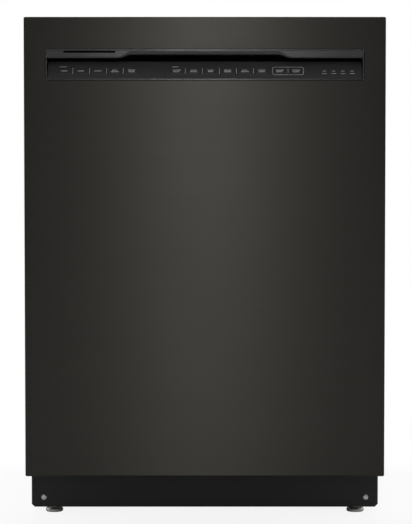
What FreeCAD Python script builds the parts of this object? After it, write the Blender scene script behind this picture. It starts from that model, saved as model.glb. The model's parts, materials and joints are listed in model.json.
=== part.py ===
"""Built in dishwasher, 24 inch class, with front controls and a pocket handle.

Units are millimetres. +Z is up, the door front faces -Y, and the origin is on the
floor under the middle of the machine's bounding box.
"""
import FreeCAD
import Part
import math
import os
import re
import Sketcher

os.makedirs("parts", exist_ok=True)
doc = FreeCAD.newDocument("Dishwasher")

# ---------------------------------------------------------------- driving dimensions
SIZES = (
    # alias, value, what it is
    ("overall_wide", 606.4, "door panel and machine width"),
    ("overall_deep", 622, "door front to the back of the base"),
    ("overall_high", 852, "floor to the countertop tabs, legs fully in"),
    ("door_bottom", 76, "floor to the door panel's lower edge"),
    ("door_top_gap", 3, "door panel's upper edge below the countertop tabs"),
    ("door_thick", 52, "outer skin's front to the liner's wet face"),
    ("panel_return", 28, "depth of the skin's folded sides"),
    ("skin_sheet", 1.2, "door skin sheet"),
    ("liner_sheet", 1.2, "door liner sheet"),
    ("liner_inset", 12.2, "liner's side inside the skin's side"),
    ("liner_bottom_gap", 8, "liner's lower edge above the skin's lower edge"),
    ("liner_top_gap", 4, "liner's upper edge below the skin's upper edge"),
    ("hinge_back", 36, "hinge axis behind the door front"),
    ("hinge_up", 100, "hinge axis above the floor"),
    ("hinge_plate", 2.5, "hinge arm plate"),
    ("pin_radius", 5, "hinge pin"),
    ("run_gap", 0.05, "radial clearance of a running fit"),
    ("fit_gap", 0.3, "clearance round a piece that moves or is set in"),
    ("pocket_side", 36.2, "console opening inside the door skin's side"),
    ("pocket_high", 52, "console opening in the door skin"),
    ("pocket_drop", 53.8, "console opening below the door's upper edge"),
    ("pocket_deep", 40, "console moulding's depth"),
    ("bezel_wall", 2.5, "console moulding's wall"),
    ("bezel_rise", 10, "moulding above the opening, behind the skin"),
    ("lip_high", 14.7, "grip lip's height at its ends"),
    ("lip_thick", 10, "grip lip front to back"),
    ("lip_rise", 5.3, "how much higher the lip ends in the grip"),
    ("grip_half", 122, "half of the grip's full-height width"),
    ("grip_run", 23, "slope at each end of the grip"),
    ("fascia_tilt", 41, "touch fascia's lean from upright"),
    ("fascia_step", 2, "fascia's foot behind the door front"),
    ("fascia_lift", 2.8, "fascia's foot above the opening's lower edge"),
    ("fascia_high", 30.3, "fascia's height, measured upright"),
    ("fascia_sheet", 2.5, "fascia's wall"),
    ("key_row", 17.9, "key centres up the fascia's slope"),
    ("key_wide", 24, "key"),
    ("key_high", 15, "key, up the slope"),
    ("key_deep", 4, "key"),
    ("key_travel", 0.6, "key stroke"),
    ("cycle_in", 31.1, "first cycle key's centre inside the opening's left end"),
    ("cycle_pitch", 28.25, "cycle key spacing"),
    ("option_first", -47, "first option key's centre"),
    ("option_pitch", 28.6, "option key spacing"),
    ("start_centre", 126.1, "start key's centre"),
    ("cancel_centre", 153.8, "cancel key's centre"),
    ("light_in", 66.2, "first status light's centre inside the opening's right end"),
    ("light_pitch", 15.6, "status light spacing"),
    ("light_wide", 6, "status light window"),
    ("light_high", 3, "status light window, up the slope"),
    ("board_sheet", 1.6, "circuit board"),
    ("vent_in", 30, "vent slot's left end inside the opening's left end"),
    ("vent_wide", 87, "vent slot"),
    ("vent_high", 1.6, "vent slot"),
    ("vent_drop", 3.2, "vent slot below the opening's upper edge"),
    ("latch_wide", 80, "latch housing"),
    ("latch_high", 33, "latch housing"),
    ("strike_wide", 18, "strike tongue"),
    ("strike_sheet", 3, "strike tongue"),
    ("strike_drop", 26, "strike tongue below the door's upper edge"),
    ("tub_wall", 1.5, "tub sheet"),
    ("tub_side_gap", 23.2, "tub's inner side inside the door's side"),
    ("tub_floor", 118, "tub floor above the machine's floor"),
    ("tub_drop", 46, "tub ceiling below the countertop tabs"),
    ("tub_back_gap", 26, "tub's inner back in front of the base's back"),
    ("seal_gap", 5.5, "tub's front flange behind the liner's wet face"),
    ("tub_corner", 16, "tub corner radius"),
    ("flange_in", 3.2, "front flange's side inside the door's side"),
    ("flange_low", 8, "front flange below the tub floor"),
    ("flange_fold", 24, "top fold of the front flange"),
    ("gasket_wide", 9, "door gasket's width"),
    ("blanket_thick", 14, "insulation blanket"),
    ("blanket_low", 200, "blanket's lower edge above the floor"),
    ("sump_radius", 112, "sump's inner radius"),
    ("sump_wall", 2.5, "sump moulding"),
    ("sump_deep", 19, "sump bowl below the tub floor"),
    ("sump_back", 20, "sump centre behind the machine's centre"),
    ("well_offset", 66, "filter well's centre beside the sump's"),
    ("well_radius", 42, "filter well's inner radius"),
    ("well_deep", 70, "filter well below the tub floor"),
    ("tower_radius", 13, "spray arm tower"),
    ("neck_radius", 8, "spray arm bearing neck"),
    ("arm_gap", 65, "spray arm's tip inside the tub's side"),
    ("arm_half", 24, "half of a spray arm blade's width at the hub"),
    ("arm_tip", 15, "half of a spray arm blade's width at the tip"),
    ("arm_thick", 14, "spray arm blade"),
    ("lower_arm_up", 24, "lower spray arm above the tub floor"),
    ("upper_arm_up", 362, "upper spray arm above the tub floor"),
    ("heater_radius", 4, "heating element rod"),
    ("heater_side_gap", 55, "heating loop inside the tub's side"),
    ("heater_front_gap", 103.5, "heating loop behind the tub's front"),
    ("heater_back_gap", 55, "heating loop in front of the tub's back"),
    ("heater_corner", 110, "heating loop's corner radius"),
    ("heater_up", 16, "heating loop above the tub floor"),
    ("rack_front_gap", 13.5, "racks' front behind the tub's front"),
    ("rack_back_gap", 25, "racks' back in front of the tub's back"),
    ("rack_side_gap", 30, "racks' side inside the tub's side"),
    ("wire_radius", 2, "coated rack wire"),
    ("rim_radius", 3, "coated rim wire"),
    ("lower_rack_up", 48, "lower rack's floor wires above the tub floor"),
    ("lower_rack_high", 140, "lower rack's wall"),
    ("upper_rack_up", 394, "upper rack's floor wires above the tub floor"),
    ("upper_rack_high", 125, "upper rack's wall"),
    ("tine_high", 85, "plate tines"),
    ("tine_pitch", 32, "plate tines' spacing"),
    ("wheel_radius", 19, "lower rack wheel"),
    ("wheel_wide", 8, "lower rack wheel"),
    ("axle_radius", 3, "lower rack wheel's axle"),
    ("wheel_front_in", 130, "front wheels' axle behind the rack's front"),
    ("wheel_rear_in", 60, "rear wheels' axle in front of the rack's back"),
    ("rail_up", 438, "upper rack rails above the tub floor"),
    ("rail_high", 36, "upper rack rails"),
    ("rail_deep", 10, "upper rack rails, out from the tub's side"),
    ("basket_half", 115, "half of the cutlery basket's width"),
    ("basket_deep", 66, "cutlery basket front to back"),
    ("basket_high", 120, "cutlery basket"),
    ("basket_wall", 2.5, "cutlery basket"),
    ("base_in", 6.2, "base frame's side inside the door's side"),
    ("base_sheet", 5, "base frame member"),
    ("base_low", 22, "base frame above the floor"),
    ("rear_member_high", 20, "base frame's rear cross member"),
    ("leg_side_in", 35, "levelling legs inside the base frame's side"),
    ("leg_front_in", 25, "front legs behind the base frame's front"),
    ("leg_rear_in", 26, "rear legs in front of the base frame's back"),
    ("leg_radius", 5, "levelling leg's threaded stem"),
    ("foot_radius", 15, "levelling leg's foot"),
    ("foot_high", 7, "levelling leg's foot"),
    ("leg_travel", 22, "levelling leg's travel"),
    ("kick_in", 4.2, "toe kick's side inside the door's side"),
    ("kick_low", 12, "toe kick above the floor"),
    ("kick_high", 82, "toe kick"),
    ("kick_back", 70, "toe kick behind the door front"),
    ("kick_fold", 4.5, "toe kick's folded edges"),
    ("kick_gap", 0.5, "toe kick's folds in front of the base frame"),
    ("kick_screw_in", 21.5, "toe kick screw from the toe kick's side"),
    ("kick_screw_up", 17, "toe kick screw above its lower edge"),
    ("tab_centre", 150, "countertop tab from the middle"),
    ("tab_wide", 24, "countertop tab"),
    ("tab_sheet", 1.5, "countertop tab"),
    ("tab_hole", 2.75, "countertop tab's screw hole radius"),
    ("duct_in", 91.1, "vent duct's centre inside the liner's side"),
    ("duct_drop", 43.2, "vent grille's centre below the console opening"),
    ("duct_half", 38, "half of the vent duct's width"),
    ("duct_wall", 2, "vent duct's wall"),
    ("grille_radius", 34, "vent grille"),
    ("collar_radius", 27.5, "vent duct's neck through the liner"),
    ("dispenser_left", -90, "dispenser flange"),
    ("dispenser_wide", 185, "dispenser flange"),
    ("dispenser_low", 425, "dispenser flange"),
    ("dispenser_high", 150, "dispenser flange"),
    ("dispenser_deep", 27, "dispenser body"),
    ("valve_in", 68, "inlet valve's centre inside the base frame's side"),
    ("wiring_in", 104, "junction box's centre inside the base frame's side"),
    ("wiring_half", 43, "half of the junction box's width"),
    ("inlet_radius", 13.2, "water inlet's 3/4 inch hose thread"),
    ("pump_in", 4, "wash pump's front inside the sump's edge"),
    ("motor_radius", 38, "wash pump's motor"),
    ("can_radius", 30, "drain pump"),
    ("drain_x", -158, "drain pump's middle"),
    ("drain_radius", 9, "drain spigot"),
    ("knockout_radius", 11, "junction box conduit hole"),
)

# What follows from the driving dimensions
LAYOUT = (
    ("half_wide", "overall_wide / 2"),
    ("front", "-overall_deep / 2"),
    ("back", "overall_deep / 2"),
    ("door_top", "overall_high - door_top_gap"),
    ("skin_back", "front + panel_return"),
    ("liner_face", "front + door_thick"),
    ("liner_half", "half_wide - liner_inset"),
    ("liner_low", "door_bottom + liner_bottom_gap"),
    ("liner_top", "door_top - liner_top_gap"),
    ("hinge_y", "front + hinge_back"),
    ("pocket_half", "half_wide - pocket_side"),
    ("cycle_first", "cycle_in - pocket_half"),
    ("light_first", "pocket_half - light_in"),
    ("vent_left", "vent_in - pocket_half"),
    ("pocket_top", "door_top - pocket_drop"),
    ("pocket_low", "door_top - pocket_drop - pocket_high"),
    ("bezel_half", "pocket_half - fit_gap"),
    ("bezel_back", "front + pocket_deep"),
    ("bezel_top", "pocket_top + bezel_rise"),
    ("lip_low", "pocket_top - lip_high"),
    ("lean", "tan(fascia_tilt * 1deg)"),
    ("rise", "cos(fascia_tilt * 1deg)"),
    ("slide_in", "sin(fascia_tilt * 1deg)"),
    ("foot_y", "front + fascia_step"),
    ("foot_z", "pocket_low + fascia_lift"),
    ("head_z", "foot_z + fascia_high"),
    ("head_y", "foot_y + fascia_high * lean"),
    ("inner_half", "bezel_half - bezel_wall"),
    ("fascia_half", "inner_half - fit_gap"),
    ("key_low", "key_row - key_high / 2"),
    ("key_top", "key_row + key_high / 2"),
    ("latch_low", "bezel_top + 2"),
    ("strike_z", "door_top - strike_drop"),
    ("duct_x", "duct_in - liner_half"),
    ("duct_z", "pocket_low - duct_drop"),
    ("tub_side", "half_wide - tub_side_gap"),
    ("tub_front", "liner_face + seal_gap"),
    ("tub_back", "back - tub_back_gap"),
    ("flange_half", "half_wide - flange_in"),
    ("tub_top", "overall_high - tub_drop"),
    ("flange_top", "overall_high - 4"),
    ("flange_bottom", "tub_floor - flange_low"),
    ("arm_reach", "tub_side - arm_gap"),
    ("heater_half", "tub_side - heater_side_gap"),
    ("heater_front", "tub_front + heater_front_gap"),
    ("heater_back", "tub_back - heater_back_gap"),
    ("rack_half", "tub_side - rack_side_gap"),
    ("rack_front", "tub_front + rack_front_gap"),
    ("rack_back", "tub_back - rack_back_gap"),
    ("wheel_front", "rack_front + wheel_front_in"),
    ("wheel_rear", "rack_back - wheel_rear_in"),
    ("arm_low", "tub_floor + lower_arm_up"),
    ("arm_high", "tub_floor + upper_arm_up"),
    ("lower_deck", "tub_floor + lower_rack_up"),
    ("upper_deck", "tub_floor + upper_rack_up"),
    ("rail_low", "tub_floor + rail_up"),
    ("wire_layer", "wire_radius * 1.5"),
    ("deck_rise", "wire_layer + wire_radius"),
    ("basket_floor", "lower_deck + deck_rise + 0.5"),
    ("wheel_z", "tub_floor + wheel_radius + fit_gap"),
    ("kick_y", "front + kick_back"),
    ("kick_half", "half_wide - kick_in"),
    ("base_front", "kick_y + kick_fold + kick_gap"),
    ("base_side", "half_wide - base_in"),
    ("leg_side", "base_side - leg_side_in"),
    ("leg_front", "base_front + leg_front_in"),
    ("leg_rear", "back - leg_rear_in"),
    ("pump_y", "sump_back + sump_radius - pump_in"),
    ("valve_x", "valve_in - base_side"),
    ("wiring_x", "base_side - wiring_in"),
    ("kick_screw_x", "kick_half - kick_screw_in"),
    ("kick_screw_z", "kick_low + kick_screw_up"),
    ("dispenser_right", "dispenser_left + dispenser_wide"),
    ("dispenser_top", "dispenser_low + dispenser_high"),
    ("cup_left", "dispenser_left + 95"),
    ("cup_low", "dispenser_low + 65"),
    ("cap_x", "dispenser_left + 140"),
    ("cap_z", "dispenser_low + 32"),
    ("dispenser_face", "liner_face + 3"),
)

sheet = doc.addObject("Spreadsheet::Sheet", "Sizes")
for row, (alias, value, note) in enumerate(SIZES, start=1):
    sheet.set(f"A{row}", note)
    sheet.set(f"B{row}", str(value))
    sheet.setAlias(f"B{row}", alias)
doc.recompute()

places = {alias: f"Sizes.{alias}" for alias, _, _ in SIZES}


def formula(text):
    """Give each name in a formula its place in the sheet or the layout."""
    return re.sub(r"[a-z_]+", lambda word: places.get(word.group(), word.group()), str(text))


layout = doc.addObject("App::VarSet", "Layout")
for name, text in LAYOUT:
    layout.addProperty("App::PropertyFloat", name)
    layout.setExpression(name, formula(text))
    places[name] = f"Layout.{name}"
doc.recompute()


def number(name):
    """The present value of a size or of a place in the layout."""
    return float(getattr(sheet if places[name].startswith("Sizes") else layout, name))


# ------------------------------------------------------------------------ helpers
nodes = {}


def bind(thing, prop, text):
    """Tie one property of an object to a formula of the sizes."""
    thing.setExpression(prop, formula(text))


def place(thing, x=0, y=0, z=0):
    """Tie an object's position to three formulas."""
    for axis, text in zip("xyz", (x, y, z)):
        bind(thing, f"Placement.Base.{axis}", text)


def node(name, thing):
    """Name the object that is one finished sub-part."""
    thing.Label = name
    nodes[name] = thing
    return thing


def box(x, y, z):
    """A box between the low and high formulas of each axis."""
    thing = doc.addObject("Part::Box", "Box")
    for side, (low, high) in zip(("Length", "Width", "Height"), (x, y, z)):
        bind(thing, side, f"({high}) - ({low})")
    place(thing, x[0], y[0], z[0])
    return thing


TURNS = {
    "x": FreeCAD.Rotation(FreeCAD.Vector(0, 1, 0), 90),
    "y": FreeCAD.Rotation(FreeCAD.Vector(1, 0, 0), -90),
    "z": FreeCAD.Rotation(),
}


def rod(axis, radius, span, **centre):
    """A cylinder along one axis, with its centre given on the other two."""
    thing = doc.addObject("Part::Cylinder", "Rod")
    bind(thing, "Radius", radius)
    bind(thing, "Height", f"({span[1]}) - ({span[0]})")
    thing.Placement = FreeCAD.Placement(FreeCAD.Vector(), TURNS[axis])
    place(thing, **{axis: span[0]}, **centre)
    return thing


def cone(radii, span, x, y):
    """An upright cone from the first radius to the second."""
    thing = doc.addObject("Part::Cone", "Cone")
    bind(thing, "Radius1", radii[0])
    bind(thing, "Radius2", radii[1])
    bind(thing, "Height", f"({span[1]}) - ({span[0]})")
    place(thing, x, y, span[0])
    return thing


def fuse(*things):
    """Several pieces made into one solid."""
    thing = doc.addObject("Part::MultiFuse", "Fuse")
    thing.Shapes = list(things)
    return thing


def cut(base, *tools):
    """A piece with the tools taken away from it."""
    thing = doc.addObject("Part::Cut", "Cut")
    thing.Base = base
    thing.Tool = tools[0] if len(tools) == 1 else group(*tools)
    return thing


def group(*things):
    """Separate solids kept together."""
    thing = doc.addObject("Part::Compound", "Group")
    thing.Links = list(things)
    return thing


def both(make):
    """One piece on each side: make is called with the sign of x."""
    return group(make(-1), make(1))


def sided(sign, near, far):
    """The low and high formulas of a span given outwards from the middle."""
    return (f"{near}", f"{far}") if sign > 0 else (f"-({far})", f"-({near})")


def sketch(body, plane, offset):
    """A sketch on one of the body's own origin planes, moved along its normal."""
    drawing = body.newObject("Sketcher::SketchObject", "Sketch")
    face = [item for item in body.Origin.OriginFeatures if item.Role == plane + "_Plane"][0]
    drawing.AttachmentSupport = [(face, "")]
    drawing.MapMode = "FlatFace"
    bind(drawing, "AttachmentOffset.Base.z", offset)
    return drawing


def fix(drawing, item, point, u, v, near):
    """Pin one point of a sketch to two formulas."""
    for kind, text, start in (("DistanceX", u, near.x), ("DistanceY", v, near.y)):
        number_of = drawing.addConstraint(Sketcher.Constraint(kind, -1, 1, item, point, start))
        bind(drawing, f"Constraints[{number_of}]", text)


def polygon(drawing, corners):
    """A closed outline of straight lines through corners given as formulas."""
    count = len(corners)
    spots = [FreeCAD.Vector(evaluate(u), evaluate(v)) for u, v in corners]
    first = drawing.GeometryCount
    for index, spot in enumerate(spots):
        drawing.addGeometry(Part.LineSegment(spot, spots[(index + 1) % count]), False)
    for index in range(count):
        after = first + (index + 1) % count
        drawing.addConstraint(Sketcher.Constraint("Coincident", first + index, 2, after, 1))
    for index, (u, v) in enumerate(corners):
        fix(drawing, first + index, 1, u, v, spots[index])


def evaluate(text):
    """A formula's present value, used as a sketch's starting shape."""
    return float(layout.evalExpression(formula(text)))


def circle(drawing, u, v, radius):
    """A circle with its centre and radius given as formulas."""
    centre = FreeCAD.Vector(evaluate(u), evaluate(v))
    item = drawing.addGeometry(Part.Circle(centre, FreeCAD.Vector(0, 0, 1), evaluate(radius)), False)
    fix(drawing, item, 3, u, v, centre)
    limit = drawing.addConstraint(Sketcher.Constraint("Radius", item, evaluate(radius)))
    bind(drawing, f"Constraints[{limit}]", radius)


def rectangle(drawing, u, v):
    """A rectangle between low and high formulas."""
    polygon(drawing, ((u[0], v[0]), (u[1], v[0]), (u[1], v[1]), (u[0], v[1])))


def start_of(plane, span):
    """Where a sketch lies along its plane's normal, so that its pad fills the span."""
    return f"-({span[1]})" if plane == "XZ" else span[0]


def pad(body, plane, span, draw):
    """Add the outline that draw makes, extruded over a span of the plane's axis."""
    drawing = sketch(body, plane, start_of(plane, span))
    draw(drawing)
    feature = body.newObject("PartDesign::Pad", "Pad")
    feature.Profile = drawing
    bind(feature, "Length", f"({span[1]}) - ({span[0]})")
    drawing.Visibility = False
    doc.recompute()
    return feature


def pocket(body, plane, span, draw):
    """Take away the outline that draw makes, over a span of the plane's axis."""
    before = body.Shape.Volume
    drawing = sketch(body, plane, start_of(plane, span))
    draw(drawing)
    feature = body.newObject("PartDesign::Pocket", "Pocket")
    feature.Profile = drawing
    feature.Reversed = True
    bind(feature, "Length", f"({span[1]}) - ({span[0]})")
    doc.recompute()
    if not body.Shape.Volume < before - 1e-3:
        raise RuntimeError(f"a pocket of {body.Label} cuts nothing")
    return feature


def fillet(body, radius, wanted):
    """Round the edges of the body's last feature that wanted accepts."""
    base = body.Tip
    names = [f"Edge{index}" for index, edge in enumerate(base.Shape.Edges, 1) if wanted(edge)]
    feature = body.newObject("PartDesign::Fillet", "Fillet")
    feature.Base = (base, names)
    bind(feature, "Radius", radius)
    doc.recompute()
    return feature


def along(edge, axis, least=0):
    """Whether an edge is straight, runs along an axis and is longer than least."""
    ends = [vertex.Point for vertex in edge.Vertexes]
    if len(ends) != 2 or edge.Length < least:
        return False
    run = ends[1] - ends[0]
    return abs(abs(getattr(run, axis)) - edge.Length) < 1e-6


def body_of(name):
    """An empty PartDesign body for one sub-part."""
    return node(name, doc.addObject("PartDesign::Body", name))


def lathe(body, outline):
    """Turn an outline of (radius, height) formulas about the body's own Z axis."""
    drawing = sketch(body, "XZ", "0")
    polygon(drawing, outline)
    feature = body.newObject("PartDesign::Revolution", "Revolution")
    feature.Profile = drawing
    feature.ReferenceAxis = (drawing, ["V_Axis"])
    feature.Angle = 360
    doc.recompute()
    return feature


def on_slope(x, up, out):
    """A box laid on the fascia: across, up the slope and out of it."""
    thing = doc.addObject("Part::Box", "Slab")
    for side, (low, high) in zip(("Length", "Width", "Height"), (x, up, out)):
        bind(thing, side, f"({high}) - ({low})")
    turn = FreeCAD.Rotation(FreeCAD.Vector(1, 0, 0), 90 - number("fascia_tilt"))
    thing.Placement = FreeCAD.Placement(FreeCAD.Vector(), turn)
    place(
        thing,
        x[0],
        f"foot_y + ({up[0]}) * slide_in - ({out[0]}) * rise",
        f"foot_z + ({up[0]}) * rise + ({out[0]}) * slide_in",
    )
    return thing


def tube(points, radius):
    """A round bar of straight runs joined by tangent arcs; each point is (place, bend)."""
    spots = [FreeCAD.Vector(*spot) for spot, _ in points]
    edges = []
    last = spots[0]
    for index in range(1, len(points) - 1):
        bend = points[index][1]
        back = (spots[index - 1] - spots[index]).normalize()
        ahead = (spots[index + 1] - spots[index]).normalize()
        half = back.getAngle(ahead) / 2
        start = spots[index] + back * (bend / math.tan(half))
        end = spots[index] + ahead * (bend / math.tan(half))
        bisector = (back + ahead).normalize()
        middle = spots[index] + bisector * (bend / math.sin(half) - bend)
        edges.append(Part.LineSegment(last, start).toShape())
        edges.append(Part.Arc(start, middle, end).toShape())
        last = end
    edges.append(Part.LineSegment(last, spots[-1]).toShape())
    path = Part.Wire(edges)
    section = Part.Wire(Part.Circle(spots[0], spots[1] - spots[0], radius).toShape())
    return path.makePipeShell([section], True, False)


def shaped(name, shape):
    """A sub-part whose shape comes from Part's own functions."""
    thing = doc.addObject("Part::Feature", name)
    thing.Shape = shape
    return node(name, thing)


# --------------------------------------------------------------------- base and legs
def make_base():
    """Folded steel base: two sides, two cross members, tub beams and leg plates."""
    side_in = "base_side - base_sheet"
    pieces = [
        box(("-base_side", "base_side"), ("base_front", "base_front + base_sheet"),
            ("base_low", "base_low + 40")),
        box(("-base_side", "base_side"), ("back - base_sheet", "back"), ("base_low", "base_low + rear_member_high")),
    ]
    for sign in (-1, 1):
        pieces.append(box(sided(sign, side_in, "base_side"), ("base_front", "back"),
                          ("base_low", "tub_floor - 8")))
        # the ear that carries the hinge pin reaches forward to the door
        pieces.append(box(sided(sign, "base_side - 4", "base_side - 1"), ("hinge_y - 8", "base_front + 1"),
                          ("hinge_up - 6", "hinge_up + 10")))
        pieces.append(rod("x", "pin_radius", sided(sign, "base_side - 4", "half_wide - skin_sheet - 0.5"),
                          y="hinge_y", z="hinge_up"))
    for beam in ("leg_front + 61", "leg_rear - 85"):
        pieces.append(box((f"-({side_in})", side_in), (beam, f"{beam} + 20"),
                          ("tub_floor - 14", "tub_floor - tub_wall")))
    for y in ("leg_front", "leg_rear"):
        for sign in (-1, 1):
            inner, outer = sided(sign, "leg_side - 22", side_in)
            pieces.append(box((inner, outer), (f"{y} - 22", f"{y} + 22"), ("base_low", "base_low + 6")))
            pieces.append(rod("z", "leg_radius + 6", ("base_low", "base_low + 18"),
                              x=f"{sign} * leg_side", y=y))
    holes = [
        rod("z", "leg_radius + run_gap", ("base_low - 1", "base_low + 19"), x=f"{sign} * leg_side", y=y)
        for y in ("leg_front", "leg_rear") for sign in (-1, 1)
    ]
    screw_holes = [
        rod("y", "2.1", ("base_front - 1", "base_front + base_sheet + 6"),
            x=f"{sign} * kick_screw_x", z="kick_screw_z")
        for sign in (-1, 1)
    ]
    node("base_frame", cut(fuse(*pieces), *holes, *screw_holes))


def make_leg(name, sign, y):
    """Threaded levelling leg with a round foot."""
    leg = body_of(name)
    lathe(leg, (("0", "0"), ("foot_radius", "0"), ("foot_radius", "foot_high - 2"),
                ("foot_radius - 3", "foot_high"), ("leg_radius", "foot_high"), ("leg_radius", "78"), ("0", "78")))
    place(leg, f"{sign} * leg_side", y, "0")


def make_toe_kick():
    """Kick plate with folded edges, held by two screws, and set back under the door."""
    kick = body_of("toe_kick")
    pad(kick, "XZ", ("kick_y", "kick_y + kick_fold"),
        lambda s: rectangle(s, ("-kick_half", "kick_half"), ("kick_low", "kick_low + kick_high")))
    pocket(kick, "XZ", ("kick_y + skin_sheet", "kick_y + kick_fold"),
           lambda s: rectangle(s, ("-kick_half + skin_sheet", "kick_half - skin_sheet"),
                               ("kick_low - 1", "kick_low + kick_high - skin_sheet")))
    for sign in (-1, 1):
        pocket(kick, "XZ", ("kick_y - 1", "kick_y + 2"),
               lambda s: circle(s, f"{sign} * kick_screw_x", "kick_screw_z", "2.4"))

    def screw(sign):
        centre = {"x": f"{sign} * kick_screw_x", "z": "kick_screw_z"}
        head = rod("y", "5", ("kick_y - 2.5", "kick_y"), **centre)
        shank = rod("y", "2", ("kick_y - 1", "base_front + base_sheet + 4"), **centre)
        return fuse(head, shank)

    node("toe_kick_screws", both(screw))


# ------------------------------------------------------------------------------ tub
def make_tub():
    """Drawn steel tub with rounded corners, a front flange and a top fold."""
    tub = body_of("tub")
    pad(tub, "XZ", ("tub_front", "tub_back + tub_wall"),
        lambda s: rectangle(s, ("-tub_side - tub_wall", "tub_side + tub_wall"),
                            ("tub_floor - tub_wall", "tub_top + tub_wall")))
    fillet(tub, "tub_corner + tub_wall", lambda edge: along(edge, "y"))
    pad(tub, "XZ", ("tub_front", "tub_front + tub_wall"),
        lambda s: rectangle(s, ("-flange_half", "flange_half"), ("flange_bottom", "flange_top")))
    pad(tub, "XZ", ("tub_front", "tub_front + flange_fold"),
        lambda s: rectangle(s, ("-flange_half", "flange_half"), ("flange_top - tub_wall", "flange_top")))

    def inside(drawing):
        """The tub's inner outline, with its corners cut to arcs."""
        rounded(drawing, "tub_side", "tub_floor", "tub_top", "tub_corner")

    pocket(tub, "XZ", ("tub_front - 1", "tub_back"), inside)
    pocket(tub, "XY", ("tub_floor - tub_wall - 1", "tub_floor + 1"),
           lambda s: circle(s, "0", "sump_back", "sump_radius"))


def rounded(drawing, half, low, high, radius):
    """A rectangle about the middle with round corners."""
    left, right = f"-({half})", half
    centres = ((right, low, -1, 1, 270), (right, high, -1, -1, 0), (left, high, 1, -1, 90), (left, low, 1, 1, 180))
    arcs = []
    for u, v, du, dv, turn in centres:
        cu, cv = f"({u}) + ({du}) * ({radius})", f"({v}) + ({dv}) * ({radius})"
        centre = FreeCAD.Vector(evaluate(cu), evaluate(cv))
        ring = Part.Circle(centre, FreeCAD.Vector(0, 0, 1), evaluate(radius))
        arc = Part.ArcOfCircle(ring, math.radians(turn), math.radians(turn + 90))
        item = drawing.addGeometry(arc, False)
        fix(drawing, item, 3, cu, cv, centre)
        limit = drawing.addConstraint(Sketcher.Constraint("Radius", item, evaluate(radius)))
        bind(drawing, f"Constraints[{limit}]", radius)
        upright = ("Vertical", "Horizontal") if turn in (90, 270) else ("Horizontal", "Vertical")
        drawing.addConstraint(Sketcher.Constraint(upright[0], item, 3, item, 1))
        drawing.addConstraint(Sketcher.Constraint(upright[1], item, 3, item, 2))
        arcs.append(item)
    for here, after in zip(arcs, arcs[1:] + arcs[:1]):
        start, end = drawing.getPoint(here, 2), drawing.getPoint(after, 1)
        side = drawing.addGeometry(Part.LineSegment(start, end), False)
        drawing.addConstraint(Sketcher.Constraint("Coincident", here, 2, side, 1))
        drawing.addConstraint(Sketcher.Constraint("Coincident", side, 2, after, 1))


def make_tub_fittings():
    """Gasket, insulation, countertop tabs and the strike on the tub's front."""
    seal = body_of("tub_gasket")
    reach = ("liner_face + fit_gap", "tub_front")
    pad(seal, "XZ", reach, lambda s: polygon(s, (
        ("-tub_side - gasket_wide", "tub_floor + 7"), ("-tub_side", "tub_floor + 7"),
        ("-tub_side", "tub_top"), ("tub_side", "tub_top"),
        ("tub_side", "tub_floor + 7"), ("tub_side + gasket_wide", "tub_floor + 7"),
        ("tub_side + gasket_wide", "tub_top + gasket_wide"), ("-tub_side - gasket_wide", "tub_top + gasket_wide"))))
    fillet(seal, "gasket_wide - 1",
           lambda edge: along(edge, "y") and abs(edge.Vertexes[0].X) > number("tub_side") + 1
           and edge.Vertexes[0].Z > number("tub_top") + 1)

    blanket = body_of("insulation_blanket")
    inner = "tub_side + tub_wall + 1"
    outer = f"{inner} + blanket_thick"
    roof = "tub_top + tub_wall + 1"
    pad(blanket, "XZ", ("tub_front + 28", "tub_back - 6"), lambda s: polygon(s, (
        (f"-({outer})", "blanket_low"), (f"-({inner})", "blanket_low"), (f"-({inner})", roof), (inner, roof),
        (inner, "blanket_low"), (outer, "blanket_low"), (outer, f"{roof} + blanket_thick"),
        (f"-({outer})", f"{roof} + blanket_thick"))))
    fillet(blanket, "blanket_thick - 2",
           lambda edge: along(edge, "y") and abs(edge.Vertexes[0].X) > number("tub_side") + 12
           and edge.Vertexes[0].Z > number("tub_top") + 5)

    def tab(sign):
        low, high = (f"{sign} * tab_centre - tab_wide / 2", f"{sign} * tab_centre + tab_wide / 2")
        top = box((low, high), ("tub_front - 14", "tub_front + 22"), ("overall_high - tab_sheet", "overall_high"))
        riser = box((low, high), ("tub_front + 20.5", "tub_front + 22"), ("flange_top", "overall_high"))
        foot = box((low, high), ("tub_front + 4", "tub_front + 22"), ("flange_top", "flange_top + tab_sheet"))
        hole = rod("z", "tab_hole", ("overall_high - 3", "overall_high + 1"),
                   x=f"{sign} * tab_centre", y="tub_front - 7")
        return cut(fuse(top, riser, foot), hole)

    node("mounting_brackets", both(tab))

    plate = box(("-strike_wide", "strike_wide"), ("tub_front - 2", "tub_front"),
                ("strike_z - strike_sheet", "flange_top - 6"))
    tongue = box(("-strike_wide / 2", "strike_wide / 2"), ("hinge_y - 4", "tub_front"),
                 ("strike_z - strike_sheet", "strike_z"))
    catch = box(("-5", "5"), ("hinge_y", "hinge_y + 7"), ("strike_z - 6", "strike_z + 1"))
    node("door_strike", cut(fuse(plate, tongue), catch))


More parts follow.
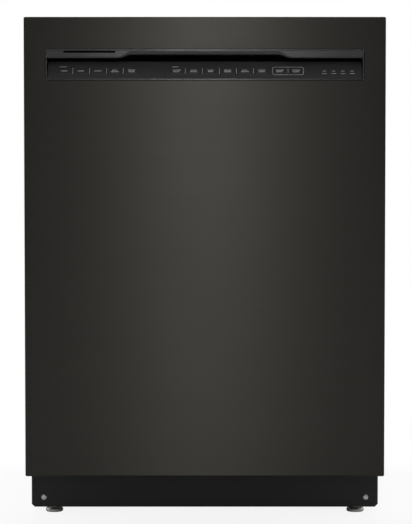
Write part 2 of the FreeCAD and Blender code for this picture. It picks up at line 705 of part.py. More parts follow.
# ---------------------------------------------------------------------- wash system
def make_wash_system():
    """Sump, filters, pumps, heating loop, feed tube, valve and the arms."""
    centre = {"x": "0", "y": "sump_back"}
    well = {"x": "well_offset", "y": "sump_back"}
    bowl_floor = "tub_floor - sump_deep"
    shell = fuse(
        rod("z", "sump_radius + sump_wall", (f"{bowl_floor} - sump_wall", "tub_floor - tub_wall"), **centre),
        rod("z", "well_radius + sump_wall", ("tub_floor - well_deep - sump_wall", bowl_floor), **well),
    )
    hollow = fuse(
        rod("z", "sump_radius", (bowl_floor, "tub_floor"), **centre),
        rod("z", "well_radius", ("tub_floor - well_deep", "tub_floor"), **well),
    )
    tower = fuse(
        rod("z", "tower_radius", (f"{bowl_floor} - sump_wall", "arm_low - fit_gap"), **centre),
        rod("z", "neck_radius", ("arm_low - 1", "arm_low + arm_thick + 2"), **centre),
    )
    node("sump", fuse(cut(shell, hollow), tower))

    plate = rod("z", "sump_radius - 1", ("tub_floor - 4", "tub_floor - 1.5"), **centre)
    node("filter_plate", cut(
        plate,
        rod("z", "tower_radius + fit_gap", ("tub_floor - 6", "tub_floor + 1"), **centre),
        rod("z", "36 + fit_gap", ("tub_floor - 6", "tub_floor + 1"), **well)))

    cup = body_of("filter_cup")
    lathe(cup, (("0", "4 - well_deep"), ("33", "4 - well_deep"), ("36", "-6"), ("36", "2"), ("28", "5"), ("28", "2"),
                ("33", "-2"), ("30.5", "6.5 - well_deep"), ("0", "6.5 - well_deep")))
    pad(cup, "XZ", ("-1.5", "1.5"), lambda s: rectangle(s, ("-29", "29"), ("-14", "10")))
    place(cup, "well_offset", "sump_back", "tub_floor")

    motor = rod("y", "motor_radius", ("pump_y + 20", "pump_y + 128"), x="0", z="base_low + 40")
    housing = rod("y", "motor_radius - 8", ("pump_y", "pump_y + 20"), x="0", z="base_low + 40")
    port = rod("z", "14", ("base_low + 40", f"{bowl_floor} - sump_wall"), x="0", y="pump_y - 2")
    cooling = rod("y", "motor_radius - 14", ("pump_y + 128", "pump_y + 140"), x="0", z="base_low + 40")
    node("wash_pump", fuse(motor, housing, port, cooling))

    drain_y, drain_z = "sump_back", "base_low + 44"
    can = rod("x", "can_radius", ("drain_x - 28", "drain_x + 28"), y=drain_y, z=drain_z)
    snout = rod("x", "can_radius - 14", ("drain_x + 27", "drain_x + 54"), y=drain_y, z=drain_z)
    riser = rod("z", "10", (drain_z, f"{bowl_floor} - sump_wall"), x="drain_x + 54", y=drain_y)
    collar = rod("y", "drain_radius + 3", (drain_y, f"{drain_y} + can_radius + 6"), x="drain_x", z=drain_z)
    spigot = rod("y", "drain_radius", (drain_y, f"{drain_y} + can_radius + 32"), x="drain_x", z=drain_z)
    node("drain_pump", fuse(can, snout, riser, collar, spigot))

    valve = box(("valve_x - 25", "valve_x + 25"), ("leg_front + 4", "leg_front + 56"),
                ("base_low + 22", "base_low + 66"))
    inlet = rod("y", "inlet_radius", ("leg_front + 55", "leg_front + 74"), x="valve_x", z="base_low + 44")
    coil = rod("z", "12", ("base_low + 65", "base_low + 76"), x="valve_x + 13", y="leg_front + 26")
    outlet = rod("z", "7", ("base_low + 60", "tub_floor - tub_wall"), x="valve_x - 11", y="leg_front + 30")
    node("inlet_valve", fuse(valve, inlet, coil, outlet))

    across, height = ("wiring_x - wiring_half", "wiring_x + wiring_half"), ("base_low + 10", "base_low + 70")
    case = box(across, ("leg_front", "leg_front + 60"), height)
    space = box(("wiring_x - wiring_half + 1.5", "wiring_x + wiring_half - 1.5"),
                ("leg_front + 1.5", "leg_front + 61"), ("base_low + 11.5", "base_low + 68.5"))
    lid = box(across, ("leg_front + 58.5", "leg_front + 60"), height)
    knockout = rod("y", "knockout_radius", ("leg_front + 58", "leg_front + 61"), x="wiring_x", z="base_low + 40")
    node("junction_box", fuse(cut(case, space), cut(lid, knockout)))

    loop_z = number("tub_floor") + number("heater_up")
    half, near, far = number("heater_half"), number("heater_front"), number("heater_back")
    bend = number("heater_corner")
    rod_r = number("heater_radius")
    post_y = far - 2 * rod_r
    floor_z = number("tub_floor") + 0.2
    route = (((-30, post_y, floor_z), 0), ((-30, post_y, loop_z), 10), ((-half, post_y, loop_z), bend),
             ((-half, near, loop_z), bend), ((half, near, loop_z), bend), ((half, post_y, loop_z), bend),
             ((30, post_y, loop_z), 10), ((30, post_y, floor_z), 0))
    shaped("heating_element", tube(route, rod_r))

    back_y = "tub_back - 16"
    run = box(("-10", "10"), ("sump_back + sump_radius + 3", "tub_back - 2"), ("tub_floor + 0.3", "tub_floor + 9"))
    stack = box(("-14", "14"), (back_y, "tub_back - 2"), ("tub_floor + 0.3", "tub_top - 2"))
    dock = box(("-12", "12"), ("rack_back + deck_rise", back_y), ("arm_high + arm_thick + 2", "arm_high + arm_thick + 20"))
    over = box(("-12", "12"), ("sump_back", back_y), ("tub_top - 14", "tub_top - 2"))
    spray = cone(("30", "18"), ("tub_top - 24", "tub_top - 13"), "0", "sump_back")
    node("feed_tube", fuse(run, stack, dock, over, spray))

    dome = body_of("float")
    lathe(dome, (("0", "0"), ("22", "0"), ("22", "12"), ("16", "19"), ("0", "21")))
    place(dome, "210", "leg_front", "tub_floor + 0.5")


def make_arm(name, low, bore):
    """Flat two-bladed spray arm, with a hub bore when it turns on a neck."""
    arm = body_of(name)
    pad(arm, "XY", ("0", "arm_thick"), lambda s: polygon(s, (
        ("arm_half", "-arm_half"), ("arm_reach - arm_tip", "-arm_tip"), ("arm_reach", "-arm_tip / 2"),
        ("arm_reach", "arm_tip / 2"), ("arm_reach - arm_tip", "arm_tip"), ("arm_half", "arm_half"),
        ("-arm_half", "arm_half"), ("arm_tip - arm_reach", "arm_tip"), ("-arm_reach", "arm_tip / 2"),
        ("-arm_reach", "-arm_tip / 2"), ("arm_tip - arm_reach", "-arm_tip"), ("-arm_half", "-arm_half"))))
    fillet(arm, "arm_thick / 3", lambda edge: abs(edge.Vertexes[0].Z - edge.Vertexes[-1].Z) < 1e-6
           and edge.Length > number("arm_tip") * 2)
    pocket(arm, "XY", ("-1", "arm_thick + 1"), lambda s: circle(s, "0", "0", bore))
    place(arm, "0", "sump_back", low)


# ---------------------------------------------------------------------------- racks
def wires(lines):
    """Straight round wires, each (start, end, radius), welded into one solid."""
    bars = []
    for start, end, radius in lines:
        run = FreeCAD.Vector(*end) - FreeCAD.Vector(*start)
        bars.append(Part.makeCylinder(radius, run.Length, FreeCAD.Vector(*start), run))
    return bars[0].fuse(bars[1:]).removeSplitter()


def spaced(low, high, count):
    """Evenly spaced values from low to high, both included."""
    return [low + (high - low) * index / (count - 1) for index in range(count)]


def basket_walls(half, front, back, deck, high):
    """The floor and four walls of a wire rack, each welded flat and resting on the next."""
    wire, rim = number("wire_radius"), number("rim_radius")
    top = deck + high
    layer, over = number("wire_layer"), wire + 1
    floor = [((x, front - over, deck), (x, back + over, deck), wire) for x in spaced(-half, half, 15)]
    floor += [((-half - over, y, deck + layer), (half + over, y, deck + layer), wire) for y in spaced(front, back, 9)]
    panels = [wires(floor)]
    base = deck + number("deck_rise")
    levels = ((base + wire, wire), (deck + high / 2, wire), (top, rim))
    for sign in (-1, 1):
        x, inner = sign * half, sign * (half - layer)
        side = [((x, y, base), (x, y, top), wire) for y in spaced(front, back, 9)]
        side += [((inner, front - over, z), (inner, back + over, z), size) for z, size in levels]
        panels.append(wires(side))
    inset = layer + rim + wire
    for y, inner in ((front, front + layer), (back, back - layer)):
        face = [((x, y, base), (x, y, top), wire) for x in spaced(inset + over - half, half - inset - over, 14)]
        face += [((inset - half, inner, z), (half - inset, inner, z), size) for z, size in levels]
        panels.append(wires(face))
    return panels


def tine_row(y, x_low, x_high, deck):
    """A row of upright tines standing on the floor wires."""
    wire, pitch, high = number("wire_radius"), number("tine_pitch"), number("tine_high")
    count = int((x_high - x_low) // pitch) + 1
    foot = deck + number("deck_rise")
    return [Part.makeCylinder(wire, high, FreeCAD.Vector(x_low + pitch * index, y, foot))
            for index in range(count)]


def block(x, y, z):
    """A plain block between low and high numbers."""
    return Part.makeBox(x[1] - x[0], y[1] - y[0], z[1] - z[0], FreeCAD.Vector(x[0], y[0], z[0]))


def make_racks():
    """Two wire racks, the rails and slides of the upper one and the wheels of the lower."""
    half, front, back = number("rack_half"), number("rack_front"), number("rack_back")
    wire, rim = number("wire_radius"), number("rim_radius")

    deck = number("lower_deck")
    lower = basket_walls(half, front, back, deck, number("lower_rack_high"))
    for y in spaced(front, back, 9)[2:8]:
        lower += tine_row(y, 12 - half + rim, half - 12, deck)
    side = half + wire + 2
    for y in (number("wheel_front"), number("wheel_rear")):
        for sign in (-1, 1):
            inner, outer = sorted((sign * (side - 4), sign * side))
            arm = block((inner, outer), (y - 6, y + 6), (number("wheel_z") - 6, deck - wire))
            pin = Part.makeCylinder(number("axle_radius"), number("wheel_wide") + 5,
                                    FreeCAD.Vector(sign * (side - 1), y, number("wheel_z")), FreeCAD.Vector(sign, 0, 0))
            lower.append(arm.fuse(pin))
    shaped("lower_rack", Part.makeCompound(lower))

    for name, y in (("front_wheels", "wheel_front"), ("rear_wheels", "wheel_rear")):
        def wheel(sign):
            span = sided(sign, "rack_half + wire_radius + 3", "rack_half + wire_radius + 3 + wheel_wide")
            disc = rod("x", "wheel_radius", span, y=y, z="wheel_z")
            hole = rod("x", "axle_radius + run_gap", (f"{span[0]} - 1", f"{span[1]} + 1"), y=y, z="wheel_z")
            return cut(disc, hole)

        node(name, both(wheel))

    deck = number("upper_deck")
    upper = basket_walls(half, front, back, deck, number("upper_rack_high"))
    foot = deck + number("deck_rise")
    for y in spaced(front, back, 9)[2:8:2]:
        upper += [Part.makeCylinder(wire, 50, FreeCAD.Vector(x, y, foot)) for x in spaced(60 - half, half - 60, 7)]
    gap = number("fit_gap")
    low, high = number("rail_low"), number("rail_low") + number("rail_high")
    track_in = number("tub_side") - number("rail_deep") - 1
    for sign in (-1, 1):
        inner, outer = sorted((sign * (half + wire), sign * (track_in - 1)))
        upper.append(block((inner, outer), (front, back - 50), (low + 9, high - 9)))
    neck_top = number("arm_high") + number("arm_thick") + gap
    manifold = block((-13, 13), (number("sump_back") - 20, back), (neck_top, deck - wire))
    post = Part.makeCylinder(number("neck_radius"), neck_top + 1 - number("arm_high"),
                             FreeCAD.Vector(0, number("sump_back"), number("arm_high")))
    upper.append(manifold.fuse(post))
    shaped("upper_rack", Part.makeCompound(upper))

    def rail(sign):
        whole = box(sided(sign, "tub_side - rail_deep", "tub_side"), ("rack_front - 5", "rack_back - 20"),
                    ("rail_low", "rail_low + rail_high"))
        channel = box(sided(sign, "tub_side - rail_deep - 1", "tub_side - 1.5"), ("rack_front - 6", "rack_back - 19"),
                      ("rail_low + 2", "rail_low + rail_high - 2"))
        return cut(whole, channel)

    node("upper_rails", both(rail))

    def track(sign):
        web = box(sided(sign, "tub_side - rail_deep - 1", "tub_side - 2"), ("rack_front - 3", "rack_back - 20"),
                  ("rail_low + 2 + fit_gap", "rail_low + rail_high - 2 - fit_gap"))
        return web

    node("upper_tracks", both(track))

    outer = (("-basket_half", "basket_half"), ("rack_front + 8", "rack_front + 8 + basket_deep"),
             ("basket_floor", "basket_floor + basket_high"))
    hull = box(*outer)
    cells = []
    for index in range(4):
        pitch = "(2 * basket_half - basket_wall) / 4"
        low = f"-basket_half + basket_wall + {index} * {pitch}"
        cells.append(box((low, f"{low} + {pitch} - basket_wall"),
                         ("rack_front + 8 + basket_wall", "rack_front + 8 + basket_deep - basket_wall"),
                         ("basket_floor + basket_wall", "lower_deck + basket_high + 20")))
    middle = "rack_front + 8 + basket_deep / 2"
    tall = ("lower_deck + 10", "lower_deck + basket_high + 46")
    handle = fuse(
        box(sided(-1, "basket_half / 2 - 3", "basket_half / 2 + 3"), (f"{middle} - 3", f"{middle} + 3"), tall),
        box(sided(1, "basket_half / 2 - 3", "basket_half / 2 + 3"), (f"{middle} - 3", f"{middle} + 3"), tall),
        box(("-basket_half / 2", "basket_half / 2"), (f"{middle} - 3", f"{middle} + 3"),
            ("lower_deck + basket_high + 38", "lower_deck + basket_high + 46")))
    node("cutlery_basket", fuse(cut(hull, *cells), handle))


# ----------------------------------------------------------------------------- door
def make_door_shells():
    """Outer skin, inner liner, hinge arms and the seal at the door's foot."""
    skin = body_of("door_panel")
    pad(skin, "XZ", ("front", "skin_back"),
        lambda s: rectangle(s, ("-half_wide", "half_wide"), ("door_bottom", "door_top")))
    fillet(skin, "2.5", lambda edge: along(edge, "y") or (along(edge, "z") and edge.Vertexes[0].Y < number("front") + 1)
           or (along(edge, "x") and edge.Vertexes[0].Y < number("front") + 1))
    pocket(skin, "XZ", ("front + skin_sheet", "skin_back + 1"),
           lambda s: rectangle(s, ("-half_wide + skin_sheet", "half_wide - skin_sheet"),
                               ("door_bottom + skin_sheet", "door_top - skin_sheet")))
    pocket(skin, "XZ", ("front - 1", "front + skin_sheet + 1"),
           lambda s: rectangle(s, ("-pocket_half", "pocket_half"), ("pocket_low", "pocket_top")))

    liner = body_of("inner_door")
    pad(liner, "XZ", ("skin_back", "liner_face"),
        lambda s: rectangle(s, ("-liner_half", "liner_half"), ("liner_low", "liner_top")))
    fillet(liner, "6", lambda edge: along(edge, "y"))
    pocket(liner, "XZ", ("skin_back - 1", "liner_face - liner_sheet"),
           lambda s: rectangle(s, ("-liner_half + liner_sheet + 2", "liner_half - liner_sheet - 2"),
                               ("liner_low + liner_sheet + 2", "liner_top - liner_sheet - 2")))

    def openings(drawing):
        """Holes for the dispenser, the strike and the vent."""
        rectangle(drawing, ("dispenser_left + 6", "dispenser_right - 6"), ("dispenser_low + 6", "dispenser_top - 6"))
        rectangle(drawing, ("-strike_wide / 2 - 3", "strike_wide / 2 + 3"), ("strike_z - 9", "strike_z + 5"))
        circle(drawing, "duct_x", "duct_z", "collar_radius + 0.5")

    pocket(liner, "XZ", ("liner_face - liner_sheet - 1", "liner_face + 1"), openings)

    def arm(sign):
        outside = "half_wide - skin_sheet - 0.7"
        plate = box(sided(sign, f"{outside} - hinge_plate", outside), ("front + 6", "liner_face - 3"),
                    ("hinge_up - 16", "hinge_up + 110"))
        lug = box(sided(sign, "liner_half", f"{outside} - 1"), ("front + 10", "skin_back - 3"),
                  ("hinge_up + 60", "hinge_up + 100"))
        hole = rod("x", "pin_radius + run_gap", sided(sign, "liner_half - 5", "half_wide"), y="hinge_y", z="hinge_up")
        return cut(fuse(plate, lug), hole)

    node("hinge_arms", both(arm))
    node("door_bottom_seal", box(("-tub_side", "tub_side"), ("liner_face", "liner_face + 2"),
                                 ("liner_low + 2", "hinge_up - 2")))


def make_console():
    """Console moulding with its grip, the tilted fascia, keys, lights and board."""
    bezel = body_of("console_bezel")
    pad(bezel, "YZ", ("-bezel_half", "bezel_half"), lambda s: polygon(s, (
        ("front", "pocket_low + fit_gap"), ("front", "pocket_top - fit_gap"),
        ("front + skin_sheet + fit_gap", "pocket_top - fit_gap"), ("front + skin_sheet + fit_gap", "bezel_top"),
        ("bezel_back", "bezel_top"), ("bezel_back", "pocket_low + fit_gap"))))
    pocket(bezel, "YZ", ("-inner_half", "inner_half"), lambda s: polygon(s, (
        ("front - 1", "pocket_low + bezel_wall"), ("front - 1", "lip_low"), ("front + lip_thick", "lip_low"),
        ("front + lip_thick", "bezel_top - bezel_wall"), ("bezel_back - bezel_wall", "bezel_top - bezel_wall"),
        ("bezel_back - bezel_wall", "pocket_low + bezel_wall"))))
    pocket(bezel, "XZ", ("front - 1", "front + lip_thick + 1"), lambda s: polygon(s, (
        ("-grip_half - grip_run", "lip_low - 1"), ("grip_half + grip_run", "lip_low - 1"),
        ("grip_half + grip_run", "lip_low"), ("grip_half", "lip_low + lip_rise"),
        ("-grip_half", "lip_low + lip_rise"), ("-grip_half - grip_run", "lip_low"))))
    pocket(bezel, "XZ", ("front - 1", "front + lip_thick + 1"),
           lambda s: rectangle(s, ("vent_left", "vent_left + vent_wide"),
                               ("pocket_top - vent_drop - vent_high", "pocket_top - vent_drop")))

    face = doc.addObject("PartDesign::Body", "FasciaBlank")
    pad(face, "YZ", ("-fascia_half", "fascia_half"), lambda s: polygon(s, (
        ("foot_y", "foot_z"), ("head_y", "head_z"), ("bezel_back - bezel_wall - fit_gap", "head_z"),
        ("bezel_back - bezel_wall - fit_gap", "head_z - fascia_sheet"),
        ("head_y - fascia_sheet * lean + fascia_sheet / rise", "head_z - fascia_sheet"),
        ("foot_y + fascia_sheet / rise", "foot_z"))))
    windows = []
    for name, centre in KEYS:
        half = "(key_wide / 2)"
        windows.append(on_slope((f"{centre} - {half} - fit_gap", f"{centre} + {half} + fit_gap"),
                                ("key_low - fit_gap", "key_top + fit_gap"), ("-fascia_sheet - 1", "1")))
        node(name, on_slope((f"{centre} - {half}", f"{centre} + {half}"), ("key_low", "key_top"), ("-key_deep", "0")))
    lenses = []
    for index in range(4):
        centre = f"light_first + {index} * light_pitch"
        span = (f"{centre} - light_wide / 2", f"{centre} + light_wide / 2")
        up = ("key_row - light_high / 2", "key_row + light_high / 2")
        windows.append(on_slope(span, up, ("-fascia_sheet - 1", "1")))
        lenses.append(on_slope(span, up, ("-fascia_sheet", "0")))
    node("control_fascia", cut(face, *windows))
    node("indicator_lenses", group(*lenses))
    under = "-key_deep - key_travel - 0.4"
    node("control_board", on_slope(("cycle_first - 18", "light_first + 60"), ("key_low - 1", "key_top + 5"),
                                   (f"{under} - board_sheet", under)))


KEYS = (
    [(f"cycle_key_{index + 1}", f"(cycle_first + {index} * cycle_pitch)") for index in range(5)]
    + [(f"option_key_{index + 1}", f"(option_first + {index} * option_pitch)") for index in range(6)]
    + [("start_key", "start_centre"), ("cancel_key", "cancel_centre")]
)


def make_door_fittings():
    """Latch, vent duct and the detergent and rinse aid dispenser."""
    housing = box(("-latch_wide / 2", "latch_wide / 2"), ("front + 5", "liner_face - liner_sheet - 0.3"),
                  ("latch_low", "latch_low + latch_high"))
    throat = box(("-strike_wide / 2 - 3", "strike_wide / 2 + 3"), ("front + 8", "liner_face + 1"),
                 ("latch_low + 2", "strike_z + 8"))
    pivot = rod("x", "2.5", ("-strike_wide / 2 - 4", "strike_wide / 2 + 4"), y="front + 15", z="strike_z - 9")
    node("door_latch", fuse(cut(housing, throat), pivot))

    hook = body_of("latch_hook")
    pad(hook, "YZ", ("-4", "4"), lambda s: polygon(s, (
        ("front + 11", "strike_z - 13"), ("front + 17", "strike_z - 12.7"), ("hinge_y + 5", "strike_z - 6.5"),
        ("hinge_y + 5", "strike_z + 1"),
        ("hinge_y + 1.5", "strike_z + 2.5"), ("hinge_y + 1", "strike_z - strike_sheet - 1.5"),
        ("front + 11", "strike_z - strike_sheet - 1.5"))))
    pocket(hook, "YZ", ("-5", "5"), lambda s: circle(s, "front + 15", "strike_z - 9", "2.5 + run_gap"))

    back_wall = "liner_face - liner_sheet - 0.2"
    duct = box(("duct_x - duct_half", "duct_x + duct_half"), ("front + 14", back_wall),
               ("duct_z - duct_half", "pocket_low - duct_wall"))
    bore = box(("duct_x - duct_half + duct_wall", "duct_x + duct_half - duct_wall"),
               ("front + 14 + duct_wall", f"{back_wall} - duct_wall"),
               ("duct_z - duct_half + duct_wall", "pocket_low - 2 * duct_wall"))
    collar = rod("y", "collar_radius", ("liner_face - 4", "liner_face + 1"), x="duct_x", z="duct_z")
    grille = rod("y", "grille_radius", ("liner_face", "liner_face + 3"), x="duct_x", z="duct_z")
    slots = [box(("duct_x - 22", "duct_x + 22"), ("liner_face - 5", "liner_face + 4"),
                 (f"duct_z + {rise} - 2", f"duct_z + {rise} + 2"))
             for rise in (-16, -8, 0, 8, 16)]
    node("vent_duct", cut(fuse(cut(duct, bore), collar, grille), *slots))

    span = (("dispenser_left", "dispenser_right"), ("liner_face", "dispenser_face"),
            ("dispenser_low", "dispenser_top"))
    flange = box(*span)
    tray = box(("dispenser_left + 7", "dispenser_right - 7"), ("liner_face - dispenser_deep", "liner_face + 1"),
               ("dispenser_low + 7", "dispenser_top - 7"))
    cup = box(("cup_left", "cup_left + 80"), ("liner_face - 22", "dispenser_face + 1"), ("cup_low", "cup_low + 68"))
    filler = rod("y", "14 + fit_gap", ("liner_face - 12", "dispenser_face + 1"), x="cap_x", z="cap_z")
    node("dispenser_body", cut(fuse(flange, tray), cup, filler))
    node("detergent_lid", box(("cup_left - 4", "cup_left + 84"), ("dispenser_face + fit_gap", "dispenser_face + 3.5"),
                              ("cup_low - 4", "cup_low + 72")))

    cap = body_of("rinse_aid_cap")
    lathe(cap, (("0", "-9"), ("14", "-9"), ("14", "0.3"), ("18", "0.3"), ("18", "3"), ("0", "3")))
    pad(cap, "XZ", ("-3", "3"), lambda s: rectangle(s, ("-13", "13"), ("2", "6.5")))
    cap.Placement = FreeCAD.Placement(FreeCAD.Vector(), TURNS["y"])
    place(cap, "cap_x", "dispenser_face", "cap_z")


make_base()
for corner, (sign, y) in {
    "leg_front_left": (-1, "leg_front"),
    "leg_front_right": (1, "leg_front"),
    "leg_rear_left": (-1, "leg_rear"),
    "leg_rear_right": (1, "leg_rear"),
}.items():
    make_leg(corner, sign, y)
make_toe_kick()
make_tub()
make_tub_fittings()
make_wash_system()
make_arm("lower_spray_arm", "arm_low", "neck_radius + run_gap")
make_arm("upper_spray_arm", "arm_high", "neck_radius + run_gap")
make_racks()
make_door_shells()
make_console()
make_door_fittings()

# A spring on each side pulls on the door through the hinge arm; drawn as its outer tube
node("door_springs", both(lambda sign: rod("y", "7", ("leg_front + 24", "leg_front + 190"),
                                           x=f"{sign} * (base_side - base_sheet - 9)", z="hinge_up - 30")))

doc.recompute()

# --------------------------------------------------------------- checks and output
for thing in doc.Objects:
    if set(thing.State) & {"Invalid", "Error"}:
        raise RuntimeError(f"{thing.Label}: {thing.State}")
for name, thing in nodes.items():
    if thing.Shape.isNull() or not thing.Shape.isValid() or not thing.Shape.Solids:
        raise RuntimeError(f"{name} has no valid solid")
for name, thing in nodes.items():
    thing.Shape.exportStep(f"parts/{name}.step")
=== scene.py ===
"""Looks of the built-in dishwasher: finishes, pressed and moulded shapes, light and camera.

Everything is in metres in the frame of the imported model: +Z up, the door front at -Y.
"""

import json
import logging
import math
from dataclasses import dataclass, field
from enum import Enum
from functools import cache
from typing import Callable, Iterable, Iterator, Optional, Sequence

import bmesh
import bpy
from bmesh.types import BMEdge, BMesh, BMFace, BMVert
from mathutils import Matrix, Vector


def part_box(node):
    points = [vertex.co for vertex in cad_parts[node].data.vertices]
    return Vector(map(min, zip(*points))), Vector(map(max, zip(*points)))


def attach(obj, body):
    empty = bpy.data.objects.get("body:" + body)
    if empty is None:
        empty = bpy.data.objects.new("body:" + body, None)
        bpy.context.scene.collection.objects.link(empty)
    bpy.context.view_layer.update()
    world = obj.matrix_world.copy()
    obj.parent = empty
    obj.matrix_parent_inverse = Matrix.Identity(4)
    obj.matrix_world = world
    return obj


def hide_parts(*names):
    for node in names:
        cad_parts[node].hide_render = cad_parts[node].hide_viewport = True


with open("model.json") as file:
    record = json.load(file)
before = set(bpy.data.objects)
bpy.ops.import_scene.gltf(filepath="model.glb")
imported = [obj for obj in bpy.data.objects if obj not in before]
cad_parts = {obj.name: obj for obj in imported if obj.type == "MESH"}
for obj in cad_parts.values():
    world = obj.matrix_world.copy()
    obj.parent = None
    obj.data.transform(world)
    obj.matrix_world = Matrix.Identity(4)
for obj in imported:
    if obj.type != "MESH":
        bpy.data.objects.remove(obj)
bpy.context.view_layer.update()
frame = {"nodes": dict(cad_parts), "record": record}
LOG = logging.getLogger("dishwasher")
MM = 0.001
HINGE_PIN = (-275.0, 100.0)
KEY_ROW = 17.9
LAMP_PLACES = tuple(200.8 + 15.6 * index for index in range(4))
Point = tuple[float, float, float]
Span = tuple[float, float]


# ------------------------------------------------------------------- node trees
class Wiring:
    """A node tree with short calls for adding and joining nodes."""

    def __init__(self, tree: bpy.types.NodeTree) -> None:
        """Take the tree to work on."""
        self.tree = tree

    def fill(self, item: bpy.types.Node, values: dict) -> None:
        """Set a node's inputs to values, or join them to other nodes' outputs."""
        for label, value in values.items():
            socket = item.inputs[label.replace("_", " ") if isinstance(label, str) else label]
            if isinstance(value, bpy.types.NodeSocket):
                self.tree.links.new(value, socket)
            else:
                socket.default_value = value

    def node(self, kind: str, *ordered: object, how: str = "", **named: object) -> bpy.types.Node:
        """Add a node.

        Args:
            kind: the node's type without its prefix.
            ordered: what goes to its first inputs, in order.
            how: its operation, if it has several.
            named: what goes to its named inputs, with _ for a space.

        Returns:
            The new node.
        """
        item = self.tree.nodes.new("ShaderNode" + kind)
        if how:
            item.operation = how
        self.fill(item, {**dict(enumerate(ordered)), **named})
        return item


class Groups:
    """Shader node groups that several finishes share, each built once."""

    @staticmethod
    def _new(name: str, outputs: Sequence[str], **inputs: float) -> tuple:
        """Start a group with float sockets; returns its wiring, input node and output node."""
        tree = bpy.data.node_groups.new(name, "ShaderNodeTree")
        for label, value in inputs.items():
            socket = tree.interface.new_socket(label, in_out="INPUT", socket_type="NodeSocketFloat")
            socket.default_value = value
        for label in outputs:
            tree.interface.new_socket(label, in_out="OUTPUT", socket_type="NodeSocketFloat")
        return Wiring(tree), tree.nodes.new("NodeGroupInput"), tree.nodes.new("NodeGroupOutput")

    @staticmethod
    @cache
    def brushed() -> bpy.types.NodeTree:
        """Long fine scratches; Across and Along set how fine they are each way."""
        net, given, out = Groups._new("brushed", ("Lines", "Streaks"), Along=3.0, Across=900.0)
        along, across = given.outputs["Along"], given.outputs["Across"]
        scale = net.node("CombineXYZ", along, across, across)
        where = net.node("TexCoord").outputs["Object"]
        stretch = net.node("VectorMath", where, scale.outputs[0], how="MULTIPLY")
        for label, detail, size in (("Lines", 3.0, 1.0), ("Streaks", 2.0, 0.06)):
            noise = net.node("TexNoise", Vector=stretch.outputs[0], Scale=size, Detail=detail)
            net.fill(out, {label: noise.outputs["Fac"]})
        return net.tree

    @staticmethod
    @cache
    def grain() -> bpy.types.NodeTree:
        """Fine moulded or cast grain and slow patches of wear, both round a half."""
        net, given, out = Groups._new("grain", ("Grain", "Patches"), Fine=2500.0, Slow=14.0)
        where = net.node("TexCoord").outputs["Object"]
        for label, source, detail in (("Grain", "Fine", 2.0), ("Patches", "Slow", 4.0)):
            noise = net.node("TexNoise", Vector=where, Scale=given.outputs[source], Detail=detail)
            net.fill(out, {label: noise.outputs["Fac"]})
        return net.tree

    @staticmethod
    @cache
    def worn_edge() -> bpy.types.NodeTree:
        """A mask of the sharp outer edges, broken up by noise."""
        net, given, out = Groups._new("worn_edge", ("Mask",), Start=0.52, Width=0.06)
        start = given.outputs["Start"]
        end = net.node("Math", start, given.outputs["Width"])
        rim = net.node("MapRange", Value=net.node("NewGeometry").outputs["Pointiness"], From_Min=start,
                       From_Max=end.outputs[0])
        noise = net.node("TexNoise", Vector=net.node("TexCoord").outputs["Object"], Scale=180.0)
        broken = net.node("Math", rim.outputs["Result"], noise.outputs["Fac"], how="MULTIPLY")
        net.fill(out, {"Mask": broken.outputs[0]})
        return net.tree


class Shader(Wiring):
    """A material under construction, with short calls for its usual nodes."""

    def __init__(self, name: str, **sockets: object) -> None:
        """Make the material and set the plain values of its Principled BSDF."""
        self.material = bpy.data.materials.new(name)
        self.material.use_nodes = True
        super().__init__(self.material.node_tree)
        self.surface = self.tree.nodes["Principled BSDF"]
        self.feed(**sockets)

    def feed(self, **values: object) -> None:
        """Set sockets of the surface, or join them to nodes."""
        self.fill(self.surface, values)

    def group(self, tree: bpy.types.NodeTree, **values: float) -> bpy.types.bpy_prop_collection:
        """Place a shared group with its own values and return its outputs."""
        item = self.node("Group")
        item.node_tree = tree
        self.fill(item, values)
        return item.outputs

    def spread(self, value: bpy.types.NodeSocket, low: float, high: float,
               start: float = 0.3, end: float = 0.7) -> bpy.types.NodeSocket:
        """Map a mask's start and end to low and high."""
        return self.node("MapRange", Value=value, From_Min=start, From_Max=end, To_Min=low,
                         To_Max=high).outputs["Result"]

    def blend(self, mask: bpy.types.NodeSocket, first: Sequence[float],
              second: Sequence[float]) -> bpy.types.NodeSocket:
        """Mix two colours by a mask."""
        item = self.node("Mix")
        item.data_type = "RGBA"
        self.fill(item, {"Factor": mask, "A": (*first, 1), "B": (*second, 1)})
        return item.outputs["Result"]

    def bump(self, height: bpy.types.NodeSocket, distance: float, strength: float = 0.5) -> None:
        """Raise the surface by a height in metres."""
        item = self.node("Bump", Height=height, Distance=distance, Strength=strength)
        self.feed(Normal=item.outputs["Normal"])


def shade(colour: Sequence[float], factor: float) -> tuple[float, float, float]:
    """A colour made lighter or darker."""
    return tuple(min(1.0, part * factor) for part in colour)


@dataclass(frozen=True)
class BrushedMetal:
    """Sheet metal with long fine scratches along one axis."""

    name: str
    colour: Point
    roughness: float = 0.3
    along: float = 3.0
    across: float = 900.0
    lines: float = 0.25
    anisotropic: float = 0.0
    scratch: float = 2e-5
    gloss: float = 0.09

    def build(self) -> bpy.types.Material:
        """Make the material."""
        made = Shader(self.name, Metallic=1.0, Anisotropic=self.anisotropic, Anisotropic_Rotation=0.25)
        lines = made.group(Groups.brushed(), Along=self.along, Across=self.across)["Lines"]
        patches = made.group(Groups.grain(), Slow=9.0)["Patches"]
        dark, pale = shade(self.colour, 1 - self.lines), shade(self.colour, 1 + self.lines)
        low, high = self.roughness * (1 - self.gloss), self.roughness * (1 + self.gloss)
        made.feed(Base_Color=made.blend(lines, dark, pale), Roughness=made.spread(patches, low, high))
        made.bump(lines, self.scratch)
        return made.material


